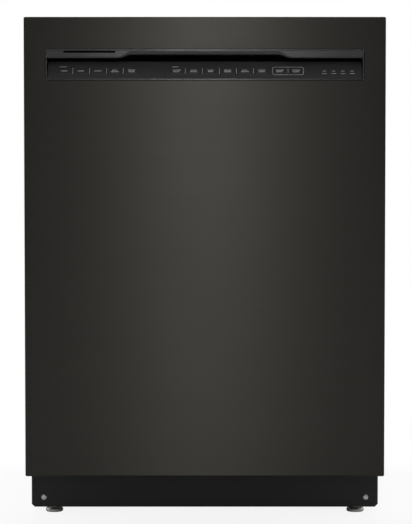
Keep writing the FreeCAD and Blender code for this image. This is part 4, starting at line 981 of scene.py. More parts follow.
# --------------------------------------------------------------------- base and legs
@dataclass
class Base:
    """Folded base frame with its hinge ears, leg bosses and tub beams, and the four legs."""

    sheet: float = 2.0
    lip: float = 24.0
    low: Vector = box_corner("base_frame", 0)
    high: Vector = box_corner("base_frame", 1)

    def build(self) -> None:
        """Make the frame and the legs."""
        self._frame()
        for name in ("leg_front_left", "leg_front_right", "leg_rear_left", "leg_rear_right"):
            self._leg(name)

    def _frame(self) -> None:
        """Weld the sides, cross members, beams, plates and ears together."""
        bm = bmesh.new()
        side, front, back = 297.0, reach("toe_kick")[1].y + 0.5, self.high.y
        roof, floor = self.high.z - 6.5, self.low.z
        pin_y, pin_z = HINGE_PIN
        holes = [round_loop((y, (roof + floor) / 2 + 2), 16, 20) for y in (-90, -20, 50, 120, 190)]
        add_plate(bm, [box_loop((front, back), (floor, roof), 3), *holes], self.sheet,
                  side_face(side - self.sheet), 0.3)
        for z in (floor, roof - self.sheet):
            block(bm, (side - self.lip, side), (front, back), (z, z + self.sheet), 0.6)
        ear = [(pin_y - 8, pin_z - 6), (front + 3, pin_z - 6), (front + 3, pin_z + 10),
               (pin_y - 2, pin_z + 10), (pin_y - 8, pin_z + 4)]
        add_plate(bm, [ear], 3.0, side_face(side - 4), 0.4)
        add_lathe(bm, ((0, 0), (5, 0), (5, 7.2), (4.4, 8), (0, 8)), at(side - 4, pin_y, pin_z, Axis.X), 24)
        add_lathe(bm, ((0, -2.4), (7.5, -2.4), (8, -1.8), (8, 0), (0, 0)),
                  at(side - 4, pin_y, pin_z, Axis.X), 24)
        for y in (-211.0, back - 26):
            block(bm, (240, side - 5), (y - 22, y + 22), (floor, floor + 3), 0.6)
            leg = reach("leg_front_right")
            x = (leg[0].x + leg[1].x) / 2
            add_lathe(bm, ((5.1, 3), (10.4, 3), (11, 4), (11, 17), (10.2, 18), (5.1, 18), (5.1, 3)),
                      at(x, y, floor), 24)
            for dx in (-1, 1):
                screw_head(bm, at(x + dx * 16, y + 15, floor + 3), 3.6)
        mirrored(bm)
        block(bm, (-side, side), (front, front + self.sheet), (floor, floor + 40), 0.6)
        block(bm, (-side, side), (front, front + 18), (floor + 40 - self.sheet, floor + 40), 0.6)
        block(bm, (-side, side), (back - self.sheet, back), (floor, floor + 20), 0.6)
        block(bm, (-side, side), (back - 20, back), (floor, floor + self.sheet), 0.6)
        for y in (-150.0, 200.0):
            block(bm, (-side + 5, side - 5), (y, y + 20), (self.high.z - 3.5, self.high.z), 0.8)
            for edge in (y, y + 17.5):
                block(bm, (-side + 5, side - 5), (edge, edge + 2.5),
                      (self.high.z - 12.5, self.high.z - 1), 0.6)
        finished(bm, "folded_base", "cabinet", "galvanised", "base_frame")

    def _leg(self, name: str) -> None:
        """Turn a threaded stem, a hexagon to turn it by and a foot."""
        low, high = reach(name)
        x, y = (low.x + high.x) / 2, (low.y + high.y) / 2
        bm = bmesh.new()
        add_lathe(bm, [(0, 9), *thread(5, 9, high.z - 2, 2.0, 0.7), (3.6, high.z), (0, high.z)],
                  at(x, y, 0), 20)
        add_plate(bm, [hex_loop((x, y), 17)], 6.0, level(7.5), 0.5)
        add_lathe(bm, ((0, 0), (13.8, 0), (15, 1.2), (15, 4.6), (14, 6), (10.5, 7), (8, 8), (0, 8)),
                  at(x, y, 0), 40)
        finished(bm, f"{name}_threaded", name, "zinc", name)


# ------------------------------------------------------------------------------- tub
@dataclass
class Tub:
    """Drawn steel tub with beads, its seal, wadding, tabs and strike."""

    wall: float = 1.5
    corner: float = 16.0
    bead: float = 2.2
    half: float = 280.0
    floor: float = 118.0
    roof: float = 806.0
    low: Vector = box_corner("tub", 0)
    high: Vector = box_corner("tub", 1)

    def build(self) -> None:
        """Make the tub and what is fixed to it."""
        self._shell()
        self._seal()
        self._wadding()
        self._tabs()
        self._strike()

    def _outline(self) -> list[Span]:
        """The inner outline from the floor's left end up, over and down to its right end."""
        half, low, high, radius = self.half, self.floor, self.roof, self.corner
        points = []
        for cu, cv, start in ((half - radius, low + radius, 270), (half - radius, high - radius, 0),
                              (radius - half, high - radius, 90), (radius - half, low + radius, 180)):
            points += [(cu + radius * math.cos(math.radians(start + 15 * step)),
                        cv + radius * math.sin(math.radians(start + 15 * step))) for step in range(7)]
            if start == 0:
                points += [(u, high) for u in steps(cu, radius - half, 26)[1:-1]]
            if start in (270, 90):
                ends = (low + radius, high - radius) if start == 270 else (high - radius, low + radius)
                points += [(math.copysign(half, cu), v) for v in steps(*ends, 60)[1:-1]]
        return points

    def _shell(self) -> None:
        """Sweep the outline back, press the beads in and close the floor, back and flange."""
        outline = self._outline()
        front, back = self.low.y, self.high.y - self.wall
        depths = [front, *steps(front + 12, back - 16, 30), back - 10, back - 5, back - 1.5, back]

        def skin(index: float, y: float) -> Point:
            """A point of the wall, with the back corner rounded and the beads pressed in."""
            u, v = outline[int(index)]
            draw = max(0.0, (y - back + 10) / 10)
            pull = 10 * (1 - math.sqrt(max(0.0, 1 - draw * draw)))
            depth = 0.0
            if abs(u) > self.half - 1 and front + 20 < y < back - 30:
                depth = sum(self.bead * math.exp(-((v - mid) / 5.0) ** 2) for mid in (250, 380, 660, 730))
                depth *= eased((y - front - 20) / 20) * eased((back - 30 - y) / 20)
            if v > self.roof - 1:
                depth = sum(self.bead * math.exp(-((u - mid) / 6.0) ** 2) for mid in (-160, -80, 80, 160))
                depth *= eased((y - front - 20) / 20) * eased((back - 30 - y) / 20)
            middle = Vector((0, (self.floor + self.roof) / 2))
            inward = Vector((-math.copysign(1, u) if abs(u) > self.half - 1 else 0,
                             -1 if v > self.roof - 1 else 0))
            u, v = u + inward.x * depth, v + inward.y * depth
            share = Vector((u, v)) - middle
            u, v = middle.x + share.x * (1 - pull / self.half), middle.y + share.y * (1 - pull / 344)
            return u * MM, y * MM, v * MM

        bm = bmesh.new()
        add_grid(bm, list(range(len(outline))), depths, skin)
        bmesh.ops.remove_doubles(bm, verts=bm.verts, dist=1e-6)
        self._base_plate(bm, depths, skin, len(outline))
        self._back_plate(bm, back)
        self._flange(bm, front)
        outward(bm)
        finished(bm, "drawn_tub", "cabinet", "stainless", "tub", angle=40, wall=self.wall)

    def _base_plate(self, bm: BMesh, depths: Sequence[float],
                    skin: Callable[[float, float], Point], count: int) -> None:
        """Fill the floor between the two lower corners, round the sump's opening."""
        part = bmesh.new()
        left = [skin(count - 1, y) for y in depths]
        right = [skin(0, y) for y in depths]
        edge = left + right[::-1]
        hole = [(u * MM, v * MM, self.floor * MM) for u, v in round_loop((0, 20), 112, 64)]
        for loop in (edge, hole):
            verts = [part.verts.new(spot) for spot in loop]
            for pair in zip(verts, verts[1:] + verts[:1]):
                part.edges.new(pair)
        bmesh.ops.triangle_fill(part, use_beauty=True, use_dissolve=False, edges=part.edges[:],
                                normal=(0, 0, 1))
        joined(bm, part)
        bmesh.ops.remove_doubles(bm, verts=bm.verts, dist=2e-6)

    def _back_plate(self, bm: BMesh, back: float) -> None:
        """Close the back with a panel that has a raised field."""
        rim = [edge for edge in bm.edges if edge.is_boundary and lies_at(edge, 1, back * MM)]
        centre = Vector((0, back, (self.floor + self.roof) / 2)) * MM
        for shrink, rise in ((30.0, 0.0), (4.0, 0.3), (4.0, 0.3), (40.0, 0.0), (3.0, -0.3), (3.0, -0.3)):
            made = bmesh.ops.extrude_edge_only(bm, edges=rim)
            verts = of_kind(made, BMVert)
            rim = of_kind(made, BMEdge)
            width = max(vert.co.x for vert in verts) / MM
            height = (max(vert.co.z for vert in verts) - centre.z) / MM
            bmesh.ops.scale(bm, vec=(1 - shrink / width, 1, 1 - shrink / height),
                            space=Matrix.Translation(-centre), verts=verts)
            bmesh.ops.translate(bm, vec=(0, rise * MM, 0), verts=verts)
        bmesh.ops.holes_fill(bm, edges=rim, sides=0)

    def _flange(self, bm: BMesh, front: float) -> None:
        """Turn the front edge out into a flange and fold its top back."""
        rim = [edge for edge in bm.edges if edge.is_boundary and lies_at(edge, 1, front * MM)]
        made = bmesh.ops.extrude_edge_only(bm, edges=rim)
        verts = of_kind(made, BMVert)
        low, high = (self.low.z, self.high.z)
        for vert in verts:
            u, v = vert.co.x / MM, vert.co.z / MM
            middle = (self.floor + self.roof) / 2
            scale = max(abs(u) / self.half, (v - middle) / (self.roof - middle),
                        (middle - v) / (middle - self.floor))
            edge_u, edge_v = u / scale, middle + (v - middle) / scale
            vert.co.x = edge_u / self.half * self.high.x * MM
            top = (edge_v - middle) / (self.roof - middle)
            vert.co.z = (middle + top * (high - middle) if top > 0 else middle + top * (middle - low)) * MM
        rim = [item for item in of_kind(made, BMEdge) if lies_at(item, 2, high * MM, 1e-5)]
        fold = bmesh.ops.extrude_edge_only(bm, edges=rim)
        verts = of_kind(fold, BMVert)
        bmesh.ops.translate(bm, vec=(0, 24 * MM, 0), verts=verts)

    def _seal(self) -> None:
        """A hollow bulb with a sealing lip round three sides of the tub's mouth."""
        low, high = reach("tub_gasket")
        y = (low.y + high.y) / 2
        line = RodWork(3)
        for inset, radius, depth in ((4.6, 2.5, y), (7.4, 1.3, low.y + 1.4), (1.7, 1.5, high.y - 1.6)):
            x, top = high.x - inset, high.z - inset
            line.add([(-x, depth, low.z), (-x, depth, top), (x, depth, top), (x, depth, low.z)], radius, 9.0)
        finished(line.mesh(), "bulb_seal", "cabinet", "rubber_grey", "tub_gasket")

    def _wadding(self) -> None:
        """A stitched blanket over the sides and roof, pinched where it is sewn."""
        low, high = reach("insulation_blanket")
        inner, thick = high.x - 14.0, 14.0
        roof, foot = high.z - 14.0, low.z
        path: list[tuple[float, float, float, float]] = []
        bend, turn = 6.0, math.pi / 2
        for z in steps(foot, roof - bend, 34):
            path.append((-inner, z, -1.0, 0.0))
        for step in range(1, 6):
            angle = math.pi - turn * step / 6
            path.append((bend - inner + bend * math.cos(angle), roof - bend + bend * math.sin(angle),
                         math.cos(angle), math.sin(angle)))
        for x in steps(bend - inner, inner - bend, 40):
            path.append((x, roof, 0.0, 1.0))
        path += [(-x, z, -nx, nz) for x, z, nx, nz in reversed(path[:39])]
        count = len(path)
        rows = steps(low.y, high.y, 46)

        def cover(index: float, y: float) -> Point:
            """A point of the cover: out along the path, then back on the inside."""
            index = int(index) % (2 * count)
            outer = index < count
            spot = index if outer else 2 * count - 1 - index
            x, z, nx, nz = path[spot]
            along = min(spot, count - 1 - spot) / 6.0
            ends = min(1.0, min(y - low.y, high.y - y) / 14.0)
            across = abs(math.sin(math.pi * (y - low.y) / 84.0)) ** 0.6
            quilt = 0.7 + 0.3 * abs(math.sin(math.pi * along)) * across
            fill = thick * quilt * (0.25 + 0.75 * math.sqrt(max(0.0, ends)))
            rise = 0.96 * fill if outer else 0.3 + 0.25 * (1 - quilt)
            return (x + nx * rise) * MM, y * MM, (z + nz * rise) * MM

        bm = bmesh.new()
        add_grid(bm, list(range(2 * count + 1)), rows, cover)
        bmesh.ops.remove_doubles(bm, verts=bm.verts, dist=1e-6)
        bmesh.ops.holes_fill(bm, edges=[edge for edge in bm.edges if edge.is_boundary], sides=0)
        outward(bm)
        obj = finished(bm, "quilted_blanket", "cabinet", "blanket", "insulation_blanket", angle=70)

    def _tabs(self) -> None:
        """Two bent tabs that are screwed to the worktop."""
        low, high = reach("mounting_brackets")
        bm = bmesh.new()
        for sign in (-1, 1):
            x = sign * 150.0
            top = box_loop((x - 12, x + 12), (low.y, high.y), 2.5)
            add_plate(bm, [top, round_loop((x, low.y + 7), 2.75, 20)], 1.5, level(high.z - 1.5), 0.25)
            block(bm, (x - 12, x + 12), (high.y - 1.5, high.y), (low.z, high.z - 0.3), 0.4)
            block(bm, (x - 12, x + 12), (high.y - 18, high.y), (low.z, low.z + 1.5), 0.4)
            add_lathe(bm, ((0, 0), (3.4, 0), (3.2, 0.5), (2.4, 0.9), (0, 1)),
                      at(x, high.y - 10, low.z + 1.5), 16)
        finished(bm, "worktop_tabs", "cabinet", "galvanised", "mounting_brackets")

    def _strike(self) -> None:
        """The tongue that enters the door latch, on a plate with two screws."""
        low, high = reach("door_strike")
        bm = bmesh.new()
        add_plate(bm, [box_loop((low.x, high.x), (low.z, high.z), 2)], 2.0, front_face(high.y), 0.3)
        tongue = box_loop((-9, 9), (low.y, high.y), 2.5)
        add_plate(bm, [tongue, box_loop((-5, 5), (-275, -268), 1)], 3.0, level(low.z), 0.4)
        for x in (-13, 13):
            screw_head(bm, at(x, high.y - 2, high.z - 8) @ Matrix.Rotation(math.pi / 2, 4, "X"), 3.2)
        finished(bm, "strike_tongue", "cabinet", "zinc", "door_strike")


# ----------------------------------------------------------------------- wash system
@dataclass
class WashSystem:
    """Sump, filters, pumps, valve, wiring box, heater, feed and float."""

    centre: Span = (0.0, 20.0)
    well: Span = (66.0, 20.0)
    floor: float = 118.0

    def build(self) -> None:
        """Make every piece below and in the tub's floor."""
        self._sump()
        self._filters()
        self._wash_pump()
        self._drain_pump()
        self._valve()
        self._wiring_box()
        self._heater()
        self._feed()
        self._float()

    def _sump(self) -> None:
        """Bowl, well and tower with stiffening ribs underneath."""
        low, high = reach("sump")
        x, y = self.centre
        floor = self.floor - 19
        bm = bmesh.new()
        add_plate(bm, [round_loop((x, y), 114.4, 64), round_loop(self.well, 42, 40)], 2.5,
                  level(floor - 2.5), 0.5)
        add_lathe(bm, ((112, floor - 2.5), (114.5, floor - 2.5), (114.5, 116.4), (112, 116.4),
                       (112, floor - 2.5)),
                  at(x, y, 0), 64)
        add_lathe(bm, ((0, low.z), (42.5, low.z), (44.5, low.z + 2), (44.5, floor), (42, floor),
                       (42, low.z + 3), (0, low.z + 2.5)), at(*self.well, 0), 48)
        add_lathe(bm, ((0, floor - 2.5), (13, floor - 2.5), (13, 141), (12.4, 141.7), (8, 141.7),
                       (8, high.z - 1), (7.3, high.z), (0, high.z)), at(x, y, 0), 32)
        for spin in [*turned(at(x, y, 0), 12)][2:11]:
            block(bm, (40, 112), (-1, 1), (floor - 8, floor - 1), 0.4, 1, spin)
            block(bm, (14, 108), (-0.9, 0.9), (floor - 1, floor + 3), 0.4, 1, spin)
        finished(bm, "sump_moulding", "cabinet", "dark_plastic", "sump")

    def _filters(self) -> None:
        """A perforated plate and the lift-out cup with its mesh and grip."""
        low, high = reach("filter_plate")
        x, y = self.centre
        holes = [round_loop((x, y), 13.3, 32), round_loop(self.well, 36.3, 40)]
        for ring in range(3, 12):
            radius = 9.0 * ring
            count = int(math.tau * radius / 9.5)
            for index in range(count):
                angle = math.tau * (index + 0.5 * (ring % 2)) / count
                spot = (x + radius * math.cos(angle), y + radius * math.sin(angle))
                if math.dist(spot, self.well) > 42:
                    holes.append(round_loop(spot, 2.3, 6))
        bm = bmesh.new()
        add_plate(bm, [round_loop((x, y), 111, 64), *holes], 1.2, level(high.z - 1.9))
        add_lathe(bm, ((106.5, low.z), (111, low.z), (111, high.z - 0.3), (110, high.z), (107, high.z),
                       (106.5, low.z + 1), (106.5, low.z)), at(x, y, 0), 64)
        add_lathe(bm, ((36.3, low.z), (40, low.z), (40, high.z), (36.3, high.z), (36.3, low.z)),
                  at(*self.well, 0), 48)
        finished(bm, "perforated_plate", "cabinet", "stainless", "filter_plate", slot="grey_plastic")
        low, high = reach("filter_cup")
        bm = bmesh.new()
        place = at(*self.well, self.floor)
        add_lathe(bm, ((28, 2), (33, -2), (33.5, -10), (35.8, -10), (36, -2), (36, 2), (34.5, 2.8), (29, 5),
                       (28, 4.6), (28, 2)), place, 48)
        add_lathe(bm, ((0, -66), (32.4, -66), (33, -65), (33, -60), (0, -60)), place, 48)
        add_lathe(bm, ((30.9, -61), (31.4, -61), (32.6, -9), (32.1, -9), (30.9, -61)), place, 48)
        for spin in turned(place, 16):
            block(bm, (31.2, 33.6), (-0.9, 0.9), (-62, -9), 0.3, 1, spin)
        for rise in (-24, -42):
            add_lathe(bm, ((31, rise), (33.8, rise), (33.8, rise + 2), (31, rise + 2), (31, rise)), place, 48)
        block(bm, (-29, 29), (-1.5, 1.5), (-12, high.z - self.floor), 1.2, 3, place)
        block(bm, (-9, 9), (-3, 3), (4, high.z - self.floor), 1.4, 3, place)
        finished(bm, "filter_basket", "filter_cup", "grey_plastic", "filter_cup")

    def _wash_pump(self) -> None:
        """Motor with cooling fins behind a round pump housing."""
        low, high = reach("wash_pump")
        z = (low.z + high.z) / 2
        start = high.y - 140
        bm = bmesh.new()
        fins = []
        for index in range(11):
            y = 30 + index * 6.5
            fins += [(35.4, y), (37.6, y + 1), (37.6, y + 3), (35.4, y + 4)]
        outline = [(0, 0), (28, 0), (30, 2), (30, 17), (33, 19), (36, 21), *fins, (36, 106), (37.6, 108),
                   (37.6, 124), (34, 128), (24, 128.4), (24, 138), (22, 140), (0, 140)]
        add_lathe(bm, outline, at(0, start, z, Axis.Y), 48)
        add_lathe(bm, ((0, 0), (14, 0), (14, 24), (15.6, 26), (15.6, 32.5), (14, 34.4), (0, 34.4)),
                  at(0, 126, z), 32)
        block(bm, (-17, 17), (start + 40, start + 84), (high.z - 6, high.z - 0.2), 1.6)
        for x in (-6, 0, 6):
            block(bm, (x - 0.4, x + 0.4), (start + 132, start + 139.6), (z - 16, z - 8), 0.15, 1)
        finished(bm, "circulation_pump", "cabinet", "dark_plastic", "wash_pump")

    def _drain_pump(self) -> None:
        """Small pump with a barbed outlet and a riser to the sump."""
        low, high = reach("drain_pump")
        z, y = 66.0, 20.0
        bm = bmesh.new()
        add_lathe(bm, ((0, 0), (26, 0), (28.5, 2), (28.5, 8), (29.8, 9), (29.8, 14), (28.5, 15), (28.5, 41),
                       (29.8, 42), (29.8, 48), (28, 50), (28, 56), (16, 56.5), (16, 80), (14, 82), (0, 82)),
                  at(low.x, y, z, Axis.X), 40)
        add_lathe(bm, ((0, -10), (10, -10), (10, high.z - z - 8), (11, high.z - z - 7), (10, high.z - z),
                       (0, high.z - z)),
                  at(-104, y, z), 24)
        add_lathe(bm, ((0, 0), (12, 0), (12, 35), (11, 36), (9, 36), (9, 58), (8.2, 60), (8.2, 62), (0, 62)),
                  at(-158, y, z, Axis.Y), 24)
        for turn in (60, 180, 300):
            spin = at(low.x + 11, y, z, Axis.X) @ Matrix.Rotation(math.radians(turn + 10), 4, "Z")
            block(bm, (22, 29.6), (-4, 4), (-3, 3), 0.8, 2, spin)
        finished(bm, "small_pump", "cabinet", "dark_plastic", "drain_pump")

    def _valve(self) -> None:
        """Moulded valve with a threaded inlet and a coil."""
        low, high = reach("inlet_valve")
        x = (low.x + high.x) / 2
        bm = bmesh.new()
        block(bm, (low.x, high.x), (low.y, low.y + 52), (44, 80), 2.5, 3)
        block(bm, (low.x + 3, high.x - 3), (low.y + 4, low.y + 48), (79, 88), 2.0, 3)
        add_lathe(bm, [(0, 51), (11, 51), (11, 54), *thread(13.2, 54, 69.5, 1.8, 0.8), (11.2, 70), (9, 70),
                       (9, 60), (0, 60)],
                  at(x, low.y, 66, Axis.Y), 32)
        add_lathe(bm, ((0, 0), (12, 0), (12, 1), (11, 1.4), (11, 9.4), (12, 9.8), (12, 10.8), (0, 11)),
                  at(x + 13, low.y + 22, 87), 28)
        add_lathe(bm, ((0, 0), (7, 0), (7, 20), (7.8, 22), (7.8, 25), (7, 27), (7, high.z - 82),
                       (0, high.z - 82)),
                  at(x - 11, low.y + 26, 82), 24)
        finished(bm, "water_valve", "cabinet", "white_plastic", "inlet_valve")

    def _wiring_box(self) -> None:
        """Bent steel box with a screwed cover and a cable hole."""
        low, high = reach("junction_box")
        bm = bmesh.new()
        add_plate(bm, [box_loop((low.x, high.x), (low.z, high.z), 3)], 1.5, front_face(low.y + 1.5), 0.3)
        hole = round_loop(((low.x + high.x) / 2, 62), 11, 28)
        add_plate(bm, [box_loop((low.x, high.x), (low.z, high.z), 3), hole], 1.5, front_face(high.y), 0.3)
        for z in (low.z, high.z - 1.5):
            block(bm, (low.x + 1, high.x - 1), (low.y + 1, high.y - 1.4), (z, z + 1.5), 0.3)
        for x in (low.x, high.x - 1.5):
            block(bm, (x, x + 1.5), (low.y + 1, high.y - 1.4), (low.z + 1, high.z - 1), 0.3)
        for x in (low.x + 10, high.x - 10):
            place = at(x, low.y + 0.9, high.z - 10) @ Matrix.Rotation(math.pi / 2, 4, "X")
            screw_head(bm, Matrix.Translation((0, 2.0 * MM, 0)) @ place, 3.4)
        finished(bm, "wiring_box", "cabinet", "galvanised", "junction_box")

    def _heater(self) -> None:
        """The heating loop, its two posts and a hexagon nut on each at the floor."""
        low, high = reach("heating_element")
        z, back, front, half = high.z - 4, high.y - 8, low.y + 4, high.x - 4
        bm = bmesh.new()
        line = RodWork(4)
        for sign in (-1, 1):
            line.add([(sign * 30, back, low.z + 0.2), (sign * 30, back, z), (sign * 60, back, z)], 3.99, 9.9)
        line.add([(-60, back, z), (-half, back, z), (-half, front, z), (half, front, z), (half, back, z),
                  (60, back, z)],
                 4, 110)
        joined(bm, line.mesh())
        for sign in (-1, 1):
            add_lathe(bm, ((0, 0.3), (7.5, 0.3), (8, 1), (8, 4), (6, 5), (0, 5.4)),
                      at(sign * 30, back, self.floor), 6)
        finished(bm, "heating_loop", "cabinet", "heater", "heating_element")

    def _feed(self) -> None:
        """Ribbed water feed up the back wall with the upper dock and the top sprayer."""
        low, high = reach("feed_tube")
        back = high.y
        dock = reach("upper_spray_arm")[1].z
        bm = bmesh.new()
        block(bm, (-10, 10), (135, back), (low.z, low.z + 8.7), 2.5, 3)
        block(bm, (-14, 14), (back - 14, back), (low.z, high.z), 4.0, 4)
        for z in steps(low.z + 60, high.z - 60, 9):
            block(bm, (-15.5, 15.5), (back - 12, back - 1), (z - 1.6, z + 1.6), 0.8)
        block(bm, (-12, 12), (266, back - 6), (dock + 2, dock + 20), 3.0, 3)
        block(bm, (-12, 12), (20, back - 6), (high.z - 12, high.z), 3.5, 4)
        add_lathe(bm, ((0, -10), (26, -10), (29, -9), (30, -7), (28, -5), (18, 1), (0, 1)),
                  at(0, 20, high.z - 12), 40)
        for spin in turned(at(0, 20, high.z - 22), 10):
            block(bm, (10, 22), (-0.8, 0.8), (-0.5, 1.2), 0.3, 1, spin)
        finished(bm, "water_feed", "cabinet", "grey_plastic", "feed_tube")

    def _float(self) -> None:
        """Domed float with grip ribs."""
        low, high = reach("float")
        x, y = (low.x + high.x) / 2, (low.y + high.y) / 2
        bm = bmesh.new()
        add_lathe(bm, ((0, 0), (21, 0), (22, 1), (22, 10), (20.5, 13), (17, 16), (11, 19), (4, 20.6),
                       (0, 21)),
                  at(x, y, low.z), 40)
        for spin in turned(at(x, y, low.z), 8):
            block(bm, (19, 22), (-1, 1), (1, 12), 0.4, 1, spin)
        finished(bm, "float_dome", "float", "grey_plastic", "float")


@dataclass
class SprayArm:
    """A two-bladed spray arm with a hub and raised jets."""

    node: str = "lower_spray_arm"
    bore: float = 8.1

    def build(self) -> None:
        """Loft the blades, turn the hub and set the jets."""
        low, high = reach(self.node)
        y = (low.y + high.y) / 2
        half = (high.z - low.z) / 2
        place = at(0, y, low.z + half)
        tip = high.x
        bm = bmesh.new()
        for sign in (-1, 1):
            spin = place @ Matrix.Rotation(0 if sign > 0 else math.pi, 4, "Z")
            stations = [(14.0, 0.0, 20.0, half * 0.8), (30, 0, 22.5, half * 0.94), (60, 0.5, 20, half * 0.9),
                        (110, 0.8, 16.5, half * 0.78), (160, 0.6, 14.2, half * 0.66),
                        (tip - 16, 0, 12.6, half * 0.56),
                        (tip - 6, 0, 10.5, half * 0.5), (tip - 1.5, 0, 7, half * 0.4),
                        (tip, 0, 3.5, half * 0.2)]
            wing(bm, stations, spin)
            for index, x in enumerate((52, 78, 104, 130, 156, 182, tip - 14)):
                side = 4.5 if index % 2 else -4.5
                rise = half * (0.88 - 0.0017 * x)
                add_lathe(bm, ((0, -1), (4.6, -1), (4.2, 0.7), (2.4, 1.0), (1.2, 0.2), (0, 0.2)),
                          spin @ at(x, side, rise), 12)
        add_lathe(bm, ((self.bore, -half), (20, -half), (22.5, -half + 1.5), (22.5, half - 2.5),
                       (17, half - 0.6), (13, half), (self.bore, half), (self.bore, -half)), place, 40)
        finished(bm, f"{self.node}_moulding", self.node, "grey_plastic", self.node)


# ----------------------------------------------------------------------------- racks
@dataclass
class Rack:
    """A coated wire rack of bent wires with a rim, a middle ring and tines."""

    node: str = "lower_rack"
    wheels: bool = True
    deck: float = 166.0
    tine: float = 85.0
    wire: float = 2.0
    rim: float = 3.0
    half: float = 250.0
    front: float = -240.0
    back: float = 260.0

    def build(self) -> None:
        """Bend the wires and add what is clipped to them."""
        low, high = reach(self.node)
        top = high.z - self.rim
        deck = self.deck
        line = RodWork(2)
        rows = steps(self.front, self.back, 9)
        rows[0], rows[-1] = self.front + 26, self.back - 26
        for y in rows:
            line.add([(-self.half, y, top), (-self.half, y, deck + 3), (self.half, y, deck + 3),
                      (self.half, y, top)],
                     self.wire, 14)
        for x in steps(24 - self.half, self.half - 24, 14):
            line.add([(x, self.front, top), (x, self.front, deck), (x, self.back, deck), (x, self.back, top)],
                     self.wire, 14)
        for z, radius, inset in ((top, self.rim, 3.0), ((deck + top) / 2, self.wire, 3.0)):
            corners = [(-self.half + inset, self.front + inset, z),
                       (self.half - inset, self.front + inset, z),
                       (self.half - inset, self.back - inset, z), (-self.half + inset, self.back - inset, z)]
            line.add(corners, radius, 22, True)
        self._tines(line, rows, deck)
        bm = line.mesh()
        if self.wheels:
            self._brackets(bm)
        else:
            self._carriers(bm, low, deck)
        self._clips(bm, rows, deck, top)
        finished(bm, f"{self.node}_wirework", self.node, "rack_nylon", self.node)

    def _tines(self, line: RodWork, rows: Sequence[float], deck: float) -> None:
        """Stand the tines on the cross wires."""
        if self.wheels:
            spots = [12 + self.rim - self.half + 32 * index for index in range(15)]
            for y in rows[2:8]:
                for x in spots:
                    line.add([(x, y, deck + 4), (x, y, deck + self.tine - 12), (x, y + 4, deck + self.tine)],
                             self.wire, 9)
        else:
            for y in rows[2:8:2]:
                for x in steps(60 - self.half, self.half - 60, 7):
                    line.add([(x, y, deck + 4), (x, y, deck + 42), (x, y + 3, deck + 50)], self.wire, 9)

    def _brackets(self, bm: BMesh) -> None:
        """Moulded brackets that carry the wheels' axles."""
        z = 137.3
        for sign in (-1, 1):
            for y in (-110.0, 200.0):
                inner, outer = sorted((sign * 249, sign * 254))
                block(bm, (inner, outer), (y - 9, y + 9), (z - 9, 169), 1.8, 3)
                block(bm, (inner, outer), (y - 15, y + 15), (158, 170), 1.6, 3)
                place = at(sign * 253, y, z, Axis.X) @ Matrix.Rotation(math.pi if sign < 0 else 0, 4, "X")
                add_lathe(bm, ((0, 0), (3, 0), (3, 12), (2.2, 13), (0, 13)), place, 16)

    def _carriers(self, bm: BMesh, low: Vector, deck: float) -> None:
        """Side runners that hook on the tracks, and the water manifold with its bearing."""
        for sign in (-1, 1):
            inner, outer = sorted((sign * 252, sign * 268))
            block(bm, (inner, outer), (self.front, self.back - 50), (565, 583), 3.0, 3)
            for y in steps(self.front + 40, self.back - 90, 6):
                inner, outer = sorted((sign * 248, sign * 253))
                block(bm, (inner, outer), (y - 8, y + 8), (560, 588), 1.6, 2)
        block(bm, (-13, 13), (2, self.back), (low.z + 14.3, deck - 2), 4.0, 4)
        for y in steps(40, self.back - 30, 7):
            block(bm, (-12.6, 12.6), (y - 1.5, y + 1.5), (low.z + 14.8, deck - 1), 0.6)
        add_lathe(bm, ((0, 0), (7.2, 0), (8, 1), (8, 14.4), (12, 14.6), (12, 20), (0, 20)),
                  at(0, 20, low.z), 32)

    def _clips(self, bm: BMesh, rows: Sequence[float], deck: float, top: float) -> None:
        """A moulded grip on the front and clips where the tine rows are held."""
        high = top + self.rim
        block(bm, (-70, 70), (self.front - 3, self.front + 6.5), (top - 9, high), 3.4, 4)
        for y in rows[2:8:2]:
            for x in (-170, -42, 86, 214):
                block(bm, (x - 5, x + 5), (y - 4, y + 4), (deck - 1.8, deck + 6), 1.4, 2)


